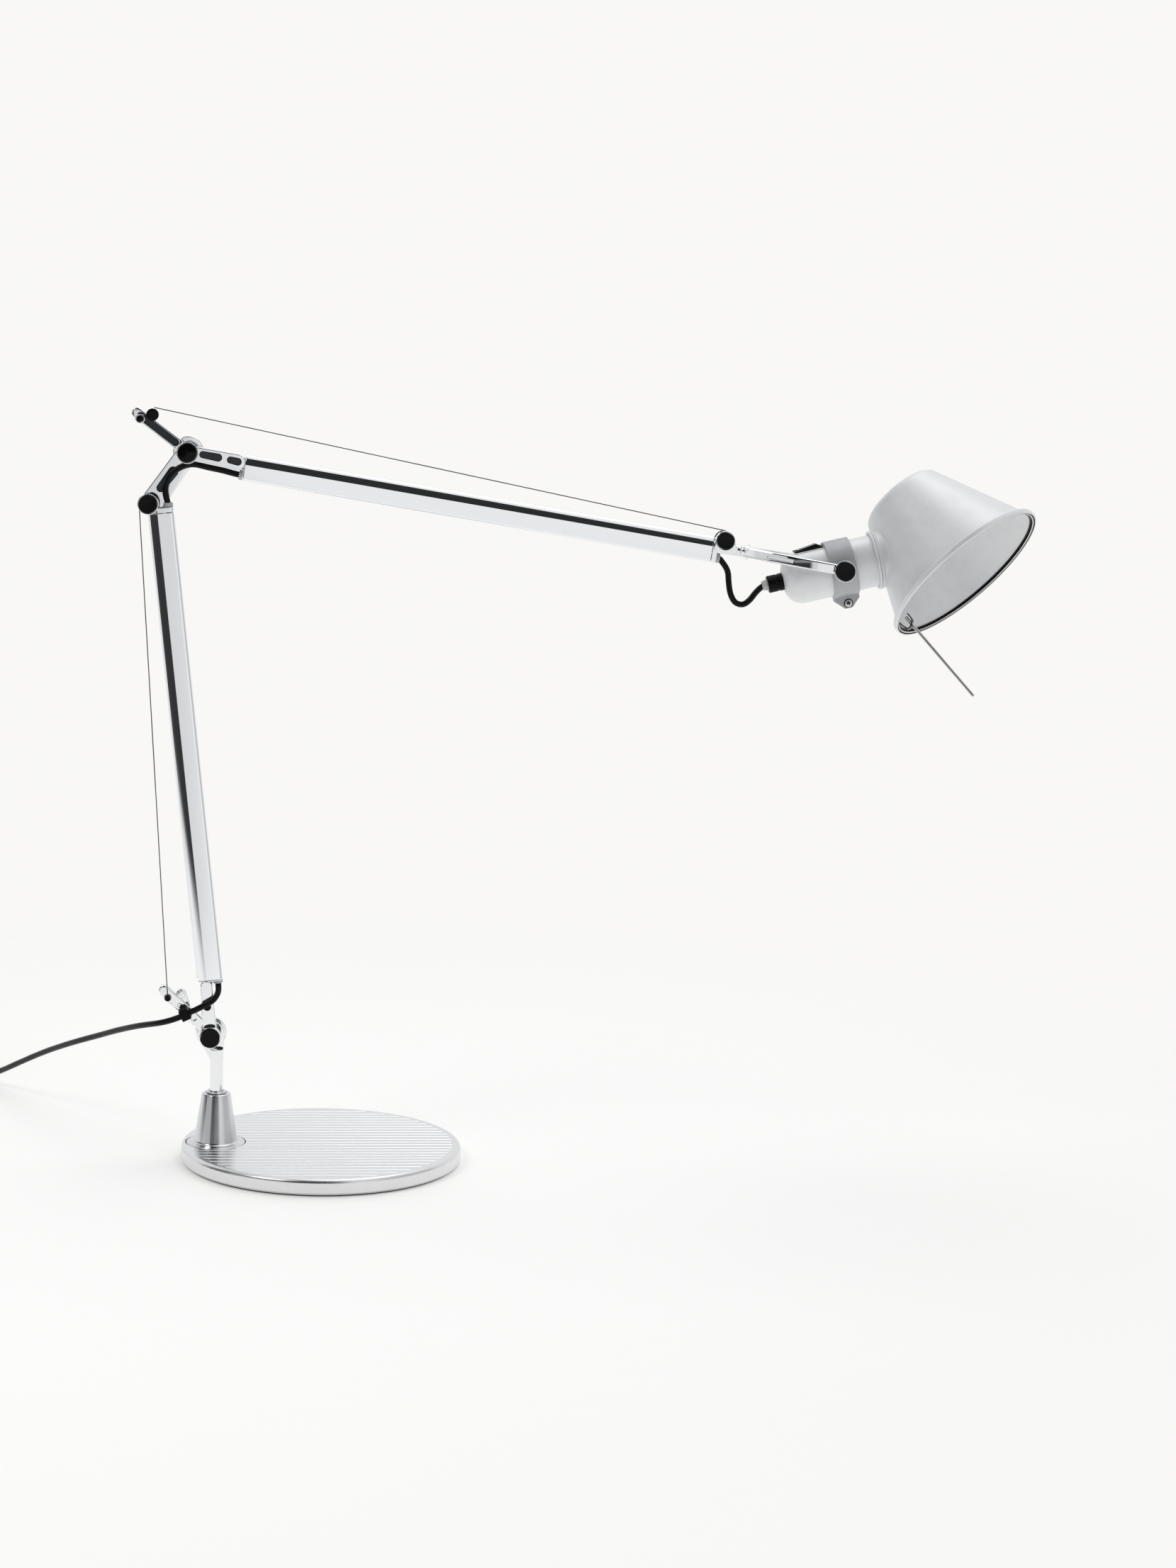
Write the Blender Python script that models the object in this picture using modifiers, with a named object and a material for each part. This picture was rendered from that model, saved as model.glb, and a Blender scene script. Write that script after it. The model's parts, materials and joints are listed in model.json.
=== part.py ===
"""Architect desk lamp: a grooved disc base with a cast hub, a swivelling stem, two spring-balanced arms
with tension cables, a yoke that swivels, and a tilting head with a turning shade.

Metres, +Z up. The origin is the centre of the base on the table. The arms lie in the XZ plane.
Each arm has its own frame: x along the arm, y towards its spring side, z towards the front (-Y).
"""

import math

import bmesh
import bpy
from mathutils import Matrix, Vector

# ---- driving dimensions -------------------------------------------------------------------------
GAP = 0.0003  # clearance between neighbouring pieces

BASE_R, BASE_TOP, BASE_FLOOR = 0.100, 0.0123, 0.0015
HUB_X, HUB_FLANGE_R, HUB_FOOT_R, HUB_TOP_R, HUB_TOP = -0.0756, 0.021, 0.0152, 0.0103, 0.0483
STEM_R, STEM_TOP = 0.0047, 0.080

LOWER_PIVOT, LOWER_ANGLE = Vector((-0.0802, 0, 0.0904)), 96.55
ELBOW, UPPER_ANGLE = Vector((-0.1009, 0, 0.5030)), -8.39
ANCHOR = Vector((-0.1108, 0, 0.1166))  # lower end of the lower cable
LEVER_TIP = Vector((-0.1135, 0, 0.1215))
LUG = Vector((-0.1014, 0, 0.1186))
ROLLER = ELBOW + Vector((-0.0246, 0, 0.0252))
HOOK = ELBOW + Vector((-0.0332, 0, 0.0222))
ELBOW_LEVER_TIP = ELBOW + Vector((-0.0352, 0, 0.0260))
ROLLER_R, ANCHOR_R = 0.0043, 0.00205

TUBE_START, TUBE_LENGTH = 0.0404, 0.3316
TUBE_WIDTH, TUBE_DEPTH, TUBE_OFFSET = 0.0184, 0.011, -0.0036
SPRING_SIDE_R, CORD_SIDE_R = 0.0048, 0.0024
SPRING_BORE_R, SPRING_BORE_N = 0.0043, -0.0013
CORD_BORE_R, CORD_BORE_N = 0.0027, -0.0092
TUBE_END = TUBE_START + TUBE_LENGTH
PULLEY_S, PULLEY_N, PULLEY_R, PULLEY_FLANGE_R = 0.3795, 0.0040, 0.0056, 0.0068
CABLE_R, CABLE_SPLIT, CABLE_OVERLAP = 0.0004, 0.0006, 0.045

BACK = (-0.0082, -0.0020)  # the fixed half of each arm pivot, measured towards the front
FRONT = (-0.0016, 0.0052)  # the moving half
EYE_R, PLATE_R, KNOB_R, CAP_R = 0.0050, 0.0095, 0.0076, 0.0067
BOLT_R, LOWER_CAP_R, UPPER_CAP_R = 0.0030, 0.0064, 0.0060

YOKE_N, YOKE_ROOT, HEAD_S, HEAD_N = -0.0015, 0.3925, 0.4641, -0.0018
PRONG_WIDTH, PRONG_THICK, PRONG_F = 0.0073, 0.0042, 0.0234

HEAD_ANGLE, BODY_R, BAND_R = 14.2, 0.0185, 0.0208
BAND_U = (-0.008, 0.010)
HOUSING_REAR, NECK_END = -0.041, 0.0275
PLATFORM_U, PLATFORM_N, PLATFORM_F = (-0.0295, -0.0085), 0.0178, 0.0075
ROCKER_U, ROCKER_HALF_F = -0.0180, 0.0042

SHADE_U, SHADE_AXIS_DEG, SHADE_ROLL_DEG = 0.075, 66.7, 29.65
SHADE_BACK, SHADE_FRONT, SHADE_BACK_R, SHADE_MOUTH_R = 0.0479, 0.0288, 0.0321, 0.0601
SHADE_LIP_R, SHADE_LIP_DEPTH, SHADE_WALL, SHADE_ROUND = 0.0631, 0.0040, 0.0012, 0.008
CLIP_AZIMUTH, ROD_RADIAL, ROD_R = 20.0, 0.052, 0.0011

CORD_R, COIL_TURN_R, COIL_HALF = 0.00215, 0.0245, 0.0066
COIL_AT = Vector((-0.300, 0.285, 0.0))

# ---- materials: base colour, metallic, roughness ------------------------------------------------
FINISHES = {
    "polished_aluminium": ((0.86, 0.86, 0.87), 1.0, 0.12),
    "satin_aluminium": ((0.78, 0.78, 0.79), 1.0, 0.32),
    "matte_silver_paint": ((0.72, 0.73, 0.74), 0.6, 0.42),
    "cast_grey": ((0.52, 0.53, 0.54), 0.8, 0.5),
    "steel": ((0.62, 0.62, 0.62), 1.0, 0.25),
    "black_plastic": ((0.012, 0.012, 0.013), 0.0, 0.3),
    "black_rubber": ((0.02, 0.02, 0.02), 0.0, 0.7),
    "grey_plastic": ((0.6, 0.6, 0.6), 0.0, 0.45),
    "cord_black": ((0.01, 0.01, 0.01), 0.0, 0.4),
    "glass": ((0.93, 0.93, 0.9), 0.0, 0.2),
    "ceramic": ((0.85, 0.84, 0.8), 0.0, 0.4),
    "weight_iron": ((0.2, 0.2, 0.2), 1.0, 0.6),
}


def material(name):
    found = bpy.data.materials.get(name)
    if found:
        return found
    colour, metallic, roughness = FINISHES[name]
    made = bpy.data.materials.new(name)
    made.use_nodes = True
    shader = made.node_tree.nodes["Principled BSDF"]
    shader.inputs["Base Color"].default_value = (*colour, 1.0)
    shader.inputs["Metallic"].default_value = metallic
    shader.inputs["Roughness"].default_value = roughness
    return made


# ---- scene and frames ---------------------------------------------------------------------------
for old in list(bpy.data.objects):
    bpy.data.objects.remove(old)
LAMP = bpy.data.collections.new("architect_desk_lamp")
CUTTERS = bpy.data.collections.new("cutters")
for group in (LAMP, CUTTERS):
    bpy.context.scene.collection.children.link(group)

PIVOTS = {}


def pivot(name, at, parent=None):
    """An empty on a joint's axis that carries the pieces of one moving body."""
    empty = bpy.data.objects.new(name + "_pivot", None)
    LAMP.objects.link(empty)
    empty.location = Vector(at) - (PIVOTS[parent][1] if parent else Vector())
    if parent:
        empty.parent = PIVOTS[parent][0]
    PIVOTS[name] = (empty, Vector(at))


def frame(origin, x, y):
    """A matrix whose columns are x, y and x cross y, at origin."""
    x, y = Vector(x).normalized(), Vector(y).normalized()
    z = x.cross(y)
    made = Matrix((x, y, z)).transposed().to_4x4()
    made.translation = Vector(origin)
    return made


def arm_frame(origin, degrees):
    """x along the arm, y towards its spring side, z towards the front."""
    a = math.radians(degrees)
    return frame(origin, (math.cos(a), 0, math.sin(a)), (-math.sin(a), 0, math.cos(a)))


def axis_frame(origin, direction, side=(0, 1, 0)):
    """z along direction, for a turned piece."""
    z = Vector(direction).normalized()
    x = Vector(side).cross(z).normalized()
    return frame(origin, x, z.cross(x))


LOWER = arm_frame(LOWER_PIVOT, LOWER_ANGLE)
UPPER = arm_frame(ELBOW, UPPER_ANGLE)
HEAD_AT = UPPER @ Vector((HEAD_S, HEAD_N, 0))
HEAD = arm_frame(HEAD_AT, HEAD_ANGLE)
NECK = HEAD.to_3x3() @ Vector((1, 0, 0))
SHADE_AT = HEAD @ Vector((SHADE_U, 0, 0))


def shade_axis():
    """The shade's axis: down from the neck's line, then rolled towards the front about it."""
    tilt, roll = math.radians(SHADE_AXIS_DEG), math.radians(SHADE_ROLL_DEG)
    down = Vector((0, -math.cos(roll), math.sin(roll)))
    return HEAD.to_3x3() @ (Vector((math.cos(tilt), 0, 0)) + down * math.sin(tilt))


def front_axis(arm, s, n, f=0.0):
    """z towards the front at a point of an arm, for bolts, caps and pulleys."""
    return arm @ Matrix.Translation((s, n, f))


# ---- modelling helpers --------------------------------------------------------------------------
def add(obj, matrix, body=None, finish=None):
    """Places a piece and hangs it on its body's empty."""
    if finish:
        obj.data.materials.append(material(finish))
    for owner in list(obj.users_collection):
        owner.objects.unlink(obj)
    LAMP.objects.link(obj)
    if body in PIVOTS:
        empty, at = PIVOTS[body]
        obj.parent = empty
        obj.matrix_parent_inverse = Matrix.Translation(-at)
    obj.matrix_basis = matrix
    return obj


def from_bmesh(name, bm):
    mesh = bpy.data.meshes.new(name)
    bm.to_mesh(mesh)
    bm.free()
    return bpy.data.objects.new(name, mesh)


def box(name, low, high):
    bm = bmesh.new()
    bmesh.ops.create_cube(bm, size=1.0)
    low, high = Vector(low), Vector(high)
    bmesh.ops.scale(bm, vec=high - low, verts=bm.verts)
    bmesh.ops.translate(bm, vec=(low + high) / 2, verts=bm.verts)
    return from_bmesh(name, bm)


def cylinder(name, radius, low, high, sides=16, top_radius=None):
    bm = bmesh.new()
    bmesh.ops.create_cone(bm, cap_ends=True, segments=sides, radius1=radius,
                          radius2=radius if top_radius is None else top_radius, depth=high - low)
    bmesh.ops.translate(bm, vec=(0, 0, (low + high) / 2), verts=bm.verts)
    obj = from_bmesh(name, bm)
    smooth(obj)
    return obj


def smooth(obj):
    obj.data.shade_smooth()
    obj.data.set_sharp_from_angle(angle=math.radians(35))


def turned(name, profile, sides=18, closed=False):
    """A Screw about local z of (radius, height) points that run down the outer side."""
    mesh = bpy.data.meshes.new(name)
    edges = [(i, i + 1) for i in range(len(profile) - 1)]
    if closed:
        edges.append((len(profile) - 1, 0))
    mesh.from_pydata([(r, 0, z) for r, z in profile], edges, [])
    obj = bpy.data.objects.new(name, mesh)
    screw = obj.modifiers.new("turn", "SCREW")
    screw.axis, screw.angle = "Z", 2 * math.pi
    screw.steps = screw.render_steps = sides
    screw.use_merge_vertices, screw.merge_threshold = True, 1e-6
    screw.use_smooth_shade = True
    return obj


def washer(name, inner, outer, low, high, sides=18):
    return turned(name, [(outer, high), (outer, low), (inner, low), (inner, high)], sides, closed=True)


def circle(x, y, radius, sides=16):
    turn = 2 * math.pi / sides
    return [(x + radius * math.cos(i * turn), y + radius * math.sin(i * turn)) for i in range(sides)]


def hull(*discs, sides=20):
    """The outline round a set of discs (x, y, radius): bars, links and eyes."""
    points = sorted({p for x, y, r in discs for p in circle(x, y, r, sides)})
    def half(run):
        kept = []
        for p in run:
            while len(kept) > 1 and turn_of(kept[-2], kept[-1], p) <= 0:
                kept.pop()
            kept.append(p)
        return kept[:-1]
    return half(points) + half(points[::-1])


def turn_of(a, b, c):
    return (b[0] - a[0]) * (c[1] - a[1]) - (b[1] - a[1]) * (c[0] - a[0])


def plate(name, loops, low, high):
    """A flat outline with its holes, as a 2D curve extruded from low to high, made a welded mesh."""
    curve = bpy.data.curves.new(name, "CURVE")
    curve.dimensions, curve.fill_mode, curve.extrude = "2D", "BOTH", (high - low) / 2
    for loop in loops:
        spline = curve.splines.new("POLY")
        spline.points.add(len(loop) - 1)
        for point, (x, y) in zip(spline.points, loop):
            point.co = (x, y, 0, 1)
        spline.use_cyclic_u = True
    flat = bpy.data.objects.new(name, curve)
    flat.location.z = (low + high) / 2
    return made_mesh(flat)


def made_mesh(source):
    """The evaluated mesh of a curve or a modified object, welded, at the place it had."""
    name = source.name
    LAMP.objects.link(source)
    bpy.context.view_layer.update()
    shown = source.evaluated_get(bpy.context.evaluated_depsgraph_get())
    mesh = bpy.data.meshes.new_from_object(shown)
    mesh.transform(source.matrix_world)
    bpy.data.objects.remove(source)
    bm = bmesh.new()
    bm.from_mesh(mesh)
    bmesh.ops.remove_doubles(bm, verts=bm.verts, dist=1e-6)
    bm.to_mesh(mesh)
    bm.free()
    obj = bpy.data.objects.new(name, mesh)
    obj.name = name
    return obj


def boolean(target, tool, operation, matrix=None):
    """Adds a Boolean by a tool, which has the target's own frame unless it brings a world matrix."""
    CUTTERS.objects.link(tool)
    tool.hide_render, tool.display_type = True, "WIRE"
    if matrix is None:
        tool.parent = target
    else:
        tool.matrix_world = matrix
    step = target.modifiers.new(operation.lower(), "BOOLEAN")
    step.operation, step.solver, step.object = operation, "EXACT", tool
    return target


def cut(target, tool, matrix=None):
    return boolean(target, tool, "DIFFERENCE", matrix)


def join(target, tool, matrix=None):
    return boolean(target, tool, "UNION", matrix)


def smooth_path(points, per_span=4):
    """Points on a smooth curve through the given ones."""
    pts = [Vector(p) for p in points]
    run = [2 * pts[0] - pts[1]] + pts + [2 * pts[-1] - pts[-2]]
    out = []
    for i in range(1, len(run) - 2):
        p0, p1, p2, p3 = run[i - 1:i + 3]
        for k in range(per_span):
            t = k / per_span
            out.append(0.5 * (2 * p1 + (p2 - p0) * t + (2 * p0 - 5 * p1 + 4 * p2 - p3) * t * t
                              + (3 * p1 - p0 - 3 * p2 + p3) * t ** 3))
    return out + [pts[-1]]


def wire(name, points, radius, finish, body=None, resolution=2):
    curve = bpy.data.curves.new(name, "CURVE")
    curve.dimensions, curve.bevel_depth, curve.use_fill_caps = "3D", radius, True
    curve.bevel_resolution = resolution
    spline = curve.splines.new("POLY")
    spline.points.add(len(points) - 1)
    for point, p in zip(spline.points, points):
        point.co = (*p, 1)
    return add(bpy.data.objects.new(name, curve), Matrix(), body, finish)


# ---- base ---------------------------------------------------------------------------------------
def make_base():
    add(cylinder("base_pad", 0.0975, 0, BASE_FLOOR - GAP, 32), Matrix(), None, "black_rubber")
    rim = 0.003
    edge = [(BASE_R - rim + rim * math.sin(a), BASE_TOP - rim + rim * math.cos(a))
            for a in (0, math.pi / 6, math.pi / 3, math.pi / 2)]
    shell = [(0, BASE_TOP)] + edge + [(BASE_R, 0.0022), (BASE_R - 0.0012, 0.001), (0.0978, 0.001),
                                      (0.0975, 0.0095), (0, 0.0095)]
    cover = turned("base_cover", shell, 40)
    cut(cover, cylinder("hub_seat", HUB_FLANGE_R + GAP, 0.008, 0.014, 28), Matrix.Translation((HUB_X, 0, 0)))
    add(cover, Matrix(), None, "satin_aluminium")
    add(cylinder("base_weight", 0.0970, BASE_FLOOR, 0.0092, 32), Matrix(), None, "weight_iron")
    bush, bore, nose = 0.00685, STEM_R + GAP, HUB_TOP + 0.0016
    profile = [(0, 0.0122), (bore, 0.0122), (bore, nose), (bush, nose), (bush, HUB_TOP), (HUB_TOP_R - 0.0006, HUB_TOP),
               (HUB_TOP_R, HUB_TOP - 0.0006), (HUB_FOOT_R, 0.0150), (HUB_FOOT_R + 0.0012, 0.0129),
               (HUB_FLANGE_R - 0.0004, BASE_TOP), (HUB_FLANGE_R, BASE_TOP - 0.0004), (HUB_FLANGE_R, 0.0096),
               (0, 0.0096)]
    add(turned("hub", profile, 24), Matrix.Translation((HUB_X, 0, 0)), None, "polished_aluminium")


# ---- stem ---------------------------------------------------------------------------------------
def xz(point):
    return point[0], point[2]


XZ_FRONT = frame((0, 0, 0), (1, 0, 0), (0, 0, 1))  # x, z of the world; z of the frame towards the front


def make_stem():
    stem = cylinder("stem", STEM_R, 0.0126, STEM_TOP, 16)
    place = Matrix.Translation((HUB_X, 0, 0))
    eye = plate("stem_eye", [hull((*xz(LOWER_PIVOT), PLATE_R), (HUB_X, 0.073, STEM_R)),
                             circle(*xz(LOWER_PIVOT), BOLT_R + GAP, 12)], *BACK)
    lever = plate("stem_lever", [hull((*xz(LOWER_PIVOT + (LEVER_TIP - LOWER_PIVOT) * 0.18), 0.0042),
                                      (*xz(LEVER_TIP), 0.0038))], *BACK)
    lug = plate("stem_lug", [hull((*xz(LUG), 0.0038), (-0.0985, 0.1085, 0.0038))], *BACK)
    for tool in (eye, lever, lug):
        join(stem, tool, XZ_FRONT)
    join(stem, cylinder("lug_screw", 0.0019, BACK[1] - 0.001, -0.0004, 20), front_axis(XZ_FRONT, *xz(LUG)))
    cut(stem, cylinder("anchor_bore", ANCHOR_R + GAP, -0.01, 0.0, 16), XZ_FRONT @ Matrix.Translation(
        (ANCHOR.x, ANCHOR.z, 0)))
    add(stem, place, "stem", "polished_aluminium")
    at = front_axis(XZ_FRONT, ANCHOR.x, ANCHOR.z)
    add(cylinder("lever_anchor_pin", ANCHOR_R, -0.0095, 0.0022, 20), at, "stem", "black_plastic")
    clip = box("cord_clip", (-0.0034, -0.0041, BACK[1] + GAP), (0.0034, 0.0041, 0.0092))
    along = Matrix.Rotation(math.pi / 2, 4, "Y")
    cut(clip, cylinder("clip_bore", CORD_R + GAP, -0.01, 0.01, 16), CLIP @ Matrix.Translation(
        (0, 0, CLIP_F)) @ along)
    add(clip, CLIP, "stem", "black_plastic")


CLIP_F = 0.0062
CLIP = frame((-0.0982, 0, 0.1062), (0.895, 0, 0.446), (-0.446, 0, 0.895))


def pivot_bolt(name, place, body):
    """A through bolt with a bright ring head at the front, and a pocket for its cap."""
    head = [(0, 0.0094), (CAP_R + GAP, 0.0094), (CAP_R + GAP, 0.0108), (KNOB_R - 0.0003, 0.0108),
            (KNOB_R, 0.0105), (KNOB_R, FRONT[1] + GAP), (BOLT_R, FRONT[1] + GAP), (BOLT_R, -0.0120),
            (0, -0.0120)]
    add(turned(name, head, 18), place, body, "polished_aluminium")


def cap_profile(dome=0.0, radius=CAP_R):
    top = 0.0121
    return [(0, top + dome), (radius - 0.0018, top + dome * 0.6), (radius - 0.0004, top), (radius, top - 0.0005),
            (radius, 0.0094 + GAP), (0, 0.0094 + GAP)]


def make_lower_pivot():
    place = front_axis(LOWER, 0, 0)
    pivot_bolt("lower_pivot_bolt", place, "stem")
    add(turned("lower_pivot_cap", cap_profile(), 18), place, "stem", "black_plastic")
    add(washer("lower_back_disc", BOLT_R + GAP, 0.011, -0.0113, BACK[0] - GAP), place, "stem", "satin_aluminium")


# ---- arms ---------------------------------------------------------------------------------------
def tube_outline(grow=0.0):
    """The arm section in (n, f): soft on the spring side, tighter on the cord side."""
    top = TUBE_OFFSET + TUBE_WIDTH / 2 + grow
    bottom = TUBE_OFFSET - TUBE_WIDTH / 2 - grow
    half = TUBE_DEPTH / 2 + grow
    points = []
    for n, r, sign, starts in ((top, SPRING_SIDE_R, 1, (-90, 0)), (bottom, CORD_SIDE_R, -1, (90, 180))):
        for side, start in zip((-1, 1), starts):
            side = side * sign
            for k in range(4):
                a = math.radians(start + k * 30)
                points.append((n - sign * r + r * math.cos(a), side * (half - r) + r * math.sin(a)))
    return points


def section_frame(arm, s):
    """x towards the spring side, y towards the front, z along the arm."""
    return arm @ frame((s, 0, 0), (0, 1, 0), (0, 0, 1))


def make_tube(name, arm, body):
    loops = [tube_outline(), circle(SPRING_BORE_N, 0, SPRING_BORE_R, 14), circle(CORD_BORE_N, 0, CORD_BORE_R, 10)]
    add(plate(name, loops, 0, TUBE_LENGTH), section_frame(arm, TUBE_START), body, "polished_aluminium")


def make_grommets(name, arm, body):
    """The grey collars round the cord where it leaves the arm: only the far one clears the end block."""
    ring = washer(name, CORD_R + 2 * GAP, 0.0034, -0.0038, -GAP, 16)
    add(ring, section_frame(arm, TUBE_START) @ Matrix.Translation((CORD_BORE_N, 0, 0)), body, "grey_plastic")


def make_foot(name, arm, body):
    """Eye, shank and the stub that goes up the spring bore."""
    shank_end = TUBE_START - GAP
    foot = plate(name, [hull((0, 0, EYE_R), (shank_end - 0.0043, -0.0007, 0.0042)),
                        circle(0, 0, BOLT_R + GAP, 12)], *FRONT)
    stub = cylinder("foot_stub", SPRING_BORE_R - GAP, shank_end - 0.006, TUBE_START + 0.014, 20)
    join(foot, stub, section_frame(arm, 0) @ Matrix.Translation((SPRING_BORE_N, 0, 0)))
    add(foot, arm, body, "polished_aluminium")


def end_block(name, arm, length):
    """The casting on the far end of a tube, in the arm's frame, slotted for the pulley."""
    start = TUBE_END + GAP
    block = plate(name, [tube_outline(), circle(CORD_BORE_N, 0, CORD_BORE_R, 10)], 0, length)
    block.data.transform(frame((start, 0, 0), (0, 1, 0), (0, 0, 1)))
    return block


PULLEY_SLOT = ((0.370, -0.0042, -0.0020), (0.3872, 0.0150, 0.0020))


def make_pulley(prefix, arm, pulley_body, arm_body, cap):
    groove = [(0, 0.0016), (PULLEY_FLANGE_R, 0.0016), (PULLEY_FLANGE_R, 0.0011), (PULLEY_R - CABLE_R, 0.0004),
              (PULLEY_R - CABLE_R, -0.0004), (PULLEY_FLANGE_R, -0.0011), (PULLEY_FLANGE_R, -0.0016), (0, -0.0016)]
    wheel = turned(prefix + "_pulley", groove, 18)
    cut(wheel, cylinder("pulley_bore", 0.0018, -0.003, 0.003, 16))
    place = front_axis(arm, PULLEY_S, PULLEY_N)
    add(wheel, place, pulley_body, "black_plastic")
    head = cap + 0.0009
    axle = [(0, 0.0094), (cap + GAP, 0.0094), (cap + GAP, 0.0108), (head - 0.0003, 0.0108), (head, 0.0105),
            (head, 0.0055 + GAP), (0.0015, 0.0055 + GAP), (0.0015, -0.0060), (0, -0.0060)]
    add(turned(prefix + "_pulley_axle", axle), place, arm_body, "polished_aluminium")
    add(turned(prefix + "_pulley_cap", cap_profile(0, cap)), place, arm_body, "black_plastic")


def make_spring(name, arm, body):
    coil_r, wire_r, turns, per_turn, start, end = 0.0031, 0.0006, 8, 8, 0.075, 0.300
    steps = turns * per_turn
    points = []
    for i in range(steps + 1):
        a = 2 * math.pi * i / per_turn
        points.append(arm @ Vector((start + (end - start) * i / steps, SPRING_BORE_N + coil_r * math.cos(a),
                                    coil_r * math.sin(a))))
    wire(name, points, wire_r, "steel", body, 0)


def make_lower_arm():
    make_tube("lower_arm_tube", LOWER, "lower_arm")
    make_foot("lower_foot", LOWER, "lower_arm")
    make_grommets("lower_grommet", LOWER, "lower_arm")
    make_spring("lower_spring", LOWER, "lower_arm")
    make_pulley("lower", LOWER, "lower_pulley", "lower_arm", LOWER_CAP_R)
    inward = LOWER.inverted()

    def local(point):
        p = inward @ point
        return p.x, p.y

    elbow, tip, roller = local(ELBOW), local(ELBOW_LEVER_TIP), local(ROLLER)
    bracket = end_block("elbow_bracket", LOWER, 0.0036)
    link = plate("elbow_link", [hull((*elbow, 0.0072), (PULLEY_S, PULLEY_N, 0.0066), (TUBE_END + 0.004, -0.002, 0.003)),
                                circle(*elbow, BOLT_R + GAP, 12)], *BACK)
    lever = plate("elbow_lever", [hull((elbow[0] + (tip[0] - elbow[0]) * 0.2, elbow[1] + (tip[1] - elbow[1]) * 0.2,
                                        0.0040), (*tip, 0.0036))], *BACK)
    nose = plate("roller_nose", [hull((*roller, 0.0034), (*local(ELBOW + (ELBOW_LEVER_TIP - ELBOW) * 0.8), 0.0034))],
                 *BACK)
    for tool in (link, lever, nose):
        join(bracket, tool)
    cut(bracket, box("pulley_slot", *PULLEY_SLOT))
    for name, at, r in (("axle_bore", (PULLEY_S, PULLEY_N), 0.0018), ("roller_bore", roller, 0.0013),
                        ("hook_bore", local(HOOK), 0.0026)):
        cut(bracket, cylinder(name, r, -0.012, 0.012, 16), LOWER @ Matrix.Translation((*at, 0)))
    add(bracket, LOWER, "lower_arm", "polished_aluminium")
    roller_profile = [(0, 0.0024), (ROLLER_R, 0.0024), (ROLLER_R - 0.0004, 0.0003), (ROLLER_R - 0.0004, -0.0003),
                      (ROLLER_R, -0.0017), (0.0010, -0.0017), (0.0010, -0.0085), (0, -0.0085)]
    add(turned("elbow_roller", roller_profile, 16), front_axis(LOWER, *roller), "lower_arm", "black_plastic")
    add(cylinder("hook_pin", 0.0023, -0.0090, -0.0004, 20), front_axis(LOWER, *local(HOOK)), "lower_arm",
        "black_plastic")
    add(turned("elbow_cap", cap_profile(0.0006), 18), front_axis(LOWER, *elbow), "lower_arm", "black_plastic")
    pivot_bolt("elbow_bolt", front_axis(LOWER, *elbow), "lower_arm")
    add(washer("elbow_back_disc", BOLT_R + GAP, 0.0108, -0.0113, BACK[0] - GAP), front_axis(LOWER, *elbow),
        "lower_arm", "satin_aluminium")


def make_upper_arm():
    make_tube("upper_arm_tube", UPPER, "upper_arm")
    make_foot("upper_foot", UPPER, "upper_arm")
    make_grommets("upper_grommet", UPPER, "upper_arm")
    make_spring("upper_spring", UPPER, "upper_arm")
    make_pulley("upper", UPPER, "upper_pulley", "upper_arm", UPPER_CAP_R)
    fitting = end_block("front_fitting", UPPER, 0.0036)
    cheeks = plate("pulley_cheeks", [hull((PULLEY_S, PULLEY_N, 0.0062), (TUBE_END + 0.0045, -0.002, 0.0035),
                                          (0.3865, YOKE_N, 0.0036))], -0.0055, 0.0055)
    nose = cylinder("yoke_nose", 0.0042, 0.3874, YOKE_ROOT - GAP, 20)
    join(fitting, cheeks)
    cut(fitting, box("front_pulley_slot", *PULLEY_SLOT))
    join(fitting, nose, section_frame(UPPER, 0) @ Matrix.Translation((YOKE_N, 0, 0)))
    cut(fitting, cylinder("axle_bore_upper", 0.0018, -0.012, 0.012, 16), front_axis(UPPER, PULLEY_S, PULLEY_N))
    cut(fitting, cylinder("yoke_bore", 0.0023, 0.3878, 0.3930, 16),
        section_frame(UPPER, 0) @ Matrix.Translation((YOKE_N, 0, 0)))
    add(fitting, UPPER, "upper_arm", "polished_aluminium")


# ---- tension cables -----------------------------------------------------------------------------
def tangent(point, centre, radius, side):
    """Where a line from point touches a circle round centre, in the XZ plane; side is +1 or -1."""
    to = centre - point
    reach = to.length
    swing = side * math.acos(radius / reach)
    back = -to / reach
    turned_back = Vector((back.x * math.cos(swing) - back.z * math.sin(swing), 0,
                          back.x * math.sin(swing) + back.z * math.cos(swing)))
    return centre + turned_back * radius


def cable_pair(names, start, end, bodies, clear_start):
    """Two halves that lie side by side over a short overlap, so each can swing with its own end."""
    run = (end - start).normalized()
    half = (end - start).length / 2
    side = Vector((0, CABLE_SPLIT, 0))
    wire(names[0], [start + run * clear_start - side, start + run * (half + CABLE_OVERLAP / 2) - side],
         CABLE_R, "steel", bodies[0], 1)
    wire(names[1], [start + run * (half - CABLE_OVERLAP / 2) + side, end + side], CABLE_R, "steel", bodies[1], 1)


def make_cables():
    lower_wheel = LOWER @ Vector((PULLEY_S, PULLEY_N, 0))
    upper_wheel = UPPER @ Vector((PULLEY_S, PULLEY_N, 0))
    off = PULLEY_R + 2 * CABLE_R + GAP
    cable_pair(("lower_cable_bottom", "lower_cable_top"), ANCHOR, tangent(ANCHOR, lower_wheel, off, -1),
               ("lower_cable_foot", "lower_cable_head"), ANCHOR_R + 0.0012)
    roller_top = ROLLER + Vector((0.0011, 0, ROLLER_R + CABLE_R + GAP))
    cable_pair(("upper_cable_rear", "upper_cable_front"), roller_top, tangent(roller_top, upper_wheel, off, -1),
               ("upper_cable_foot", "upper_cable_head"), 0.0)


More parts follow.
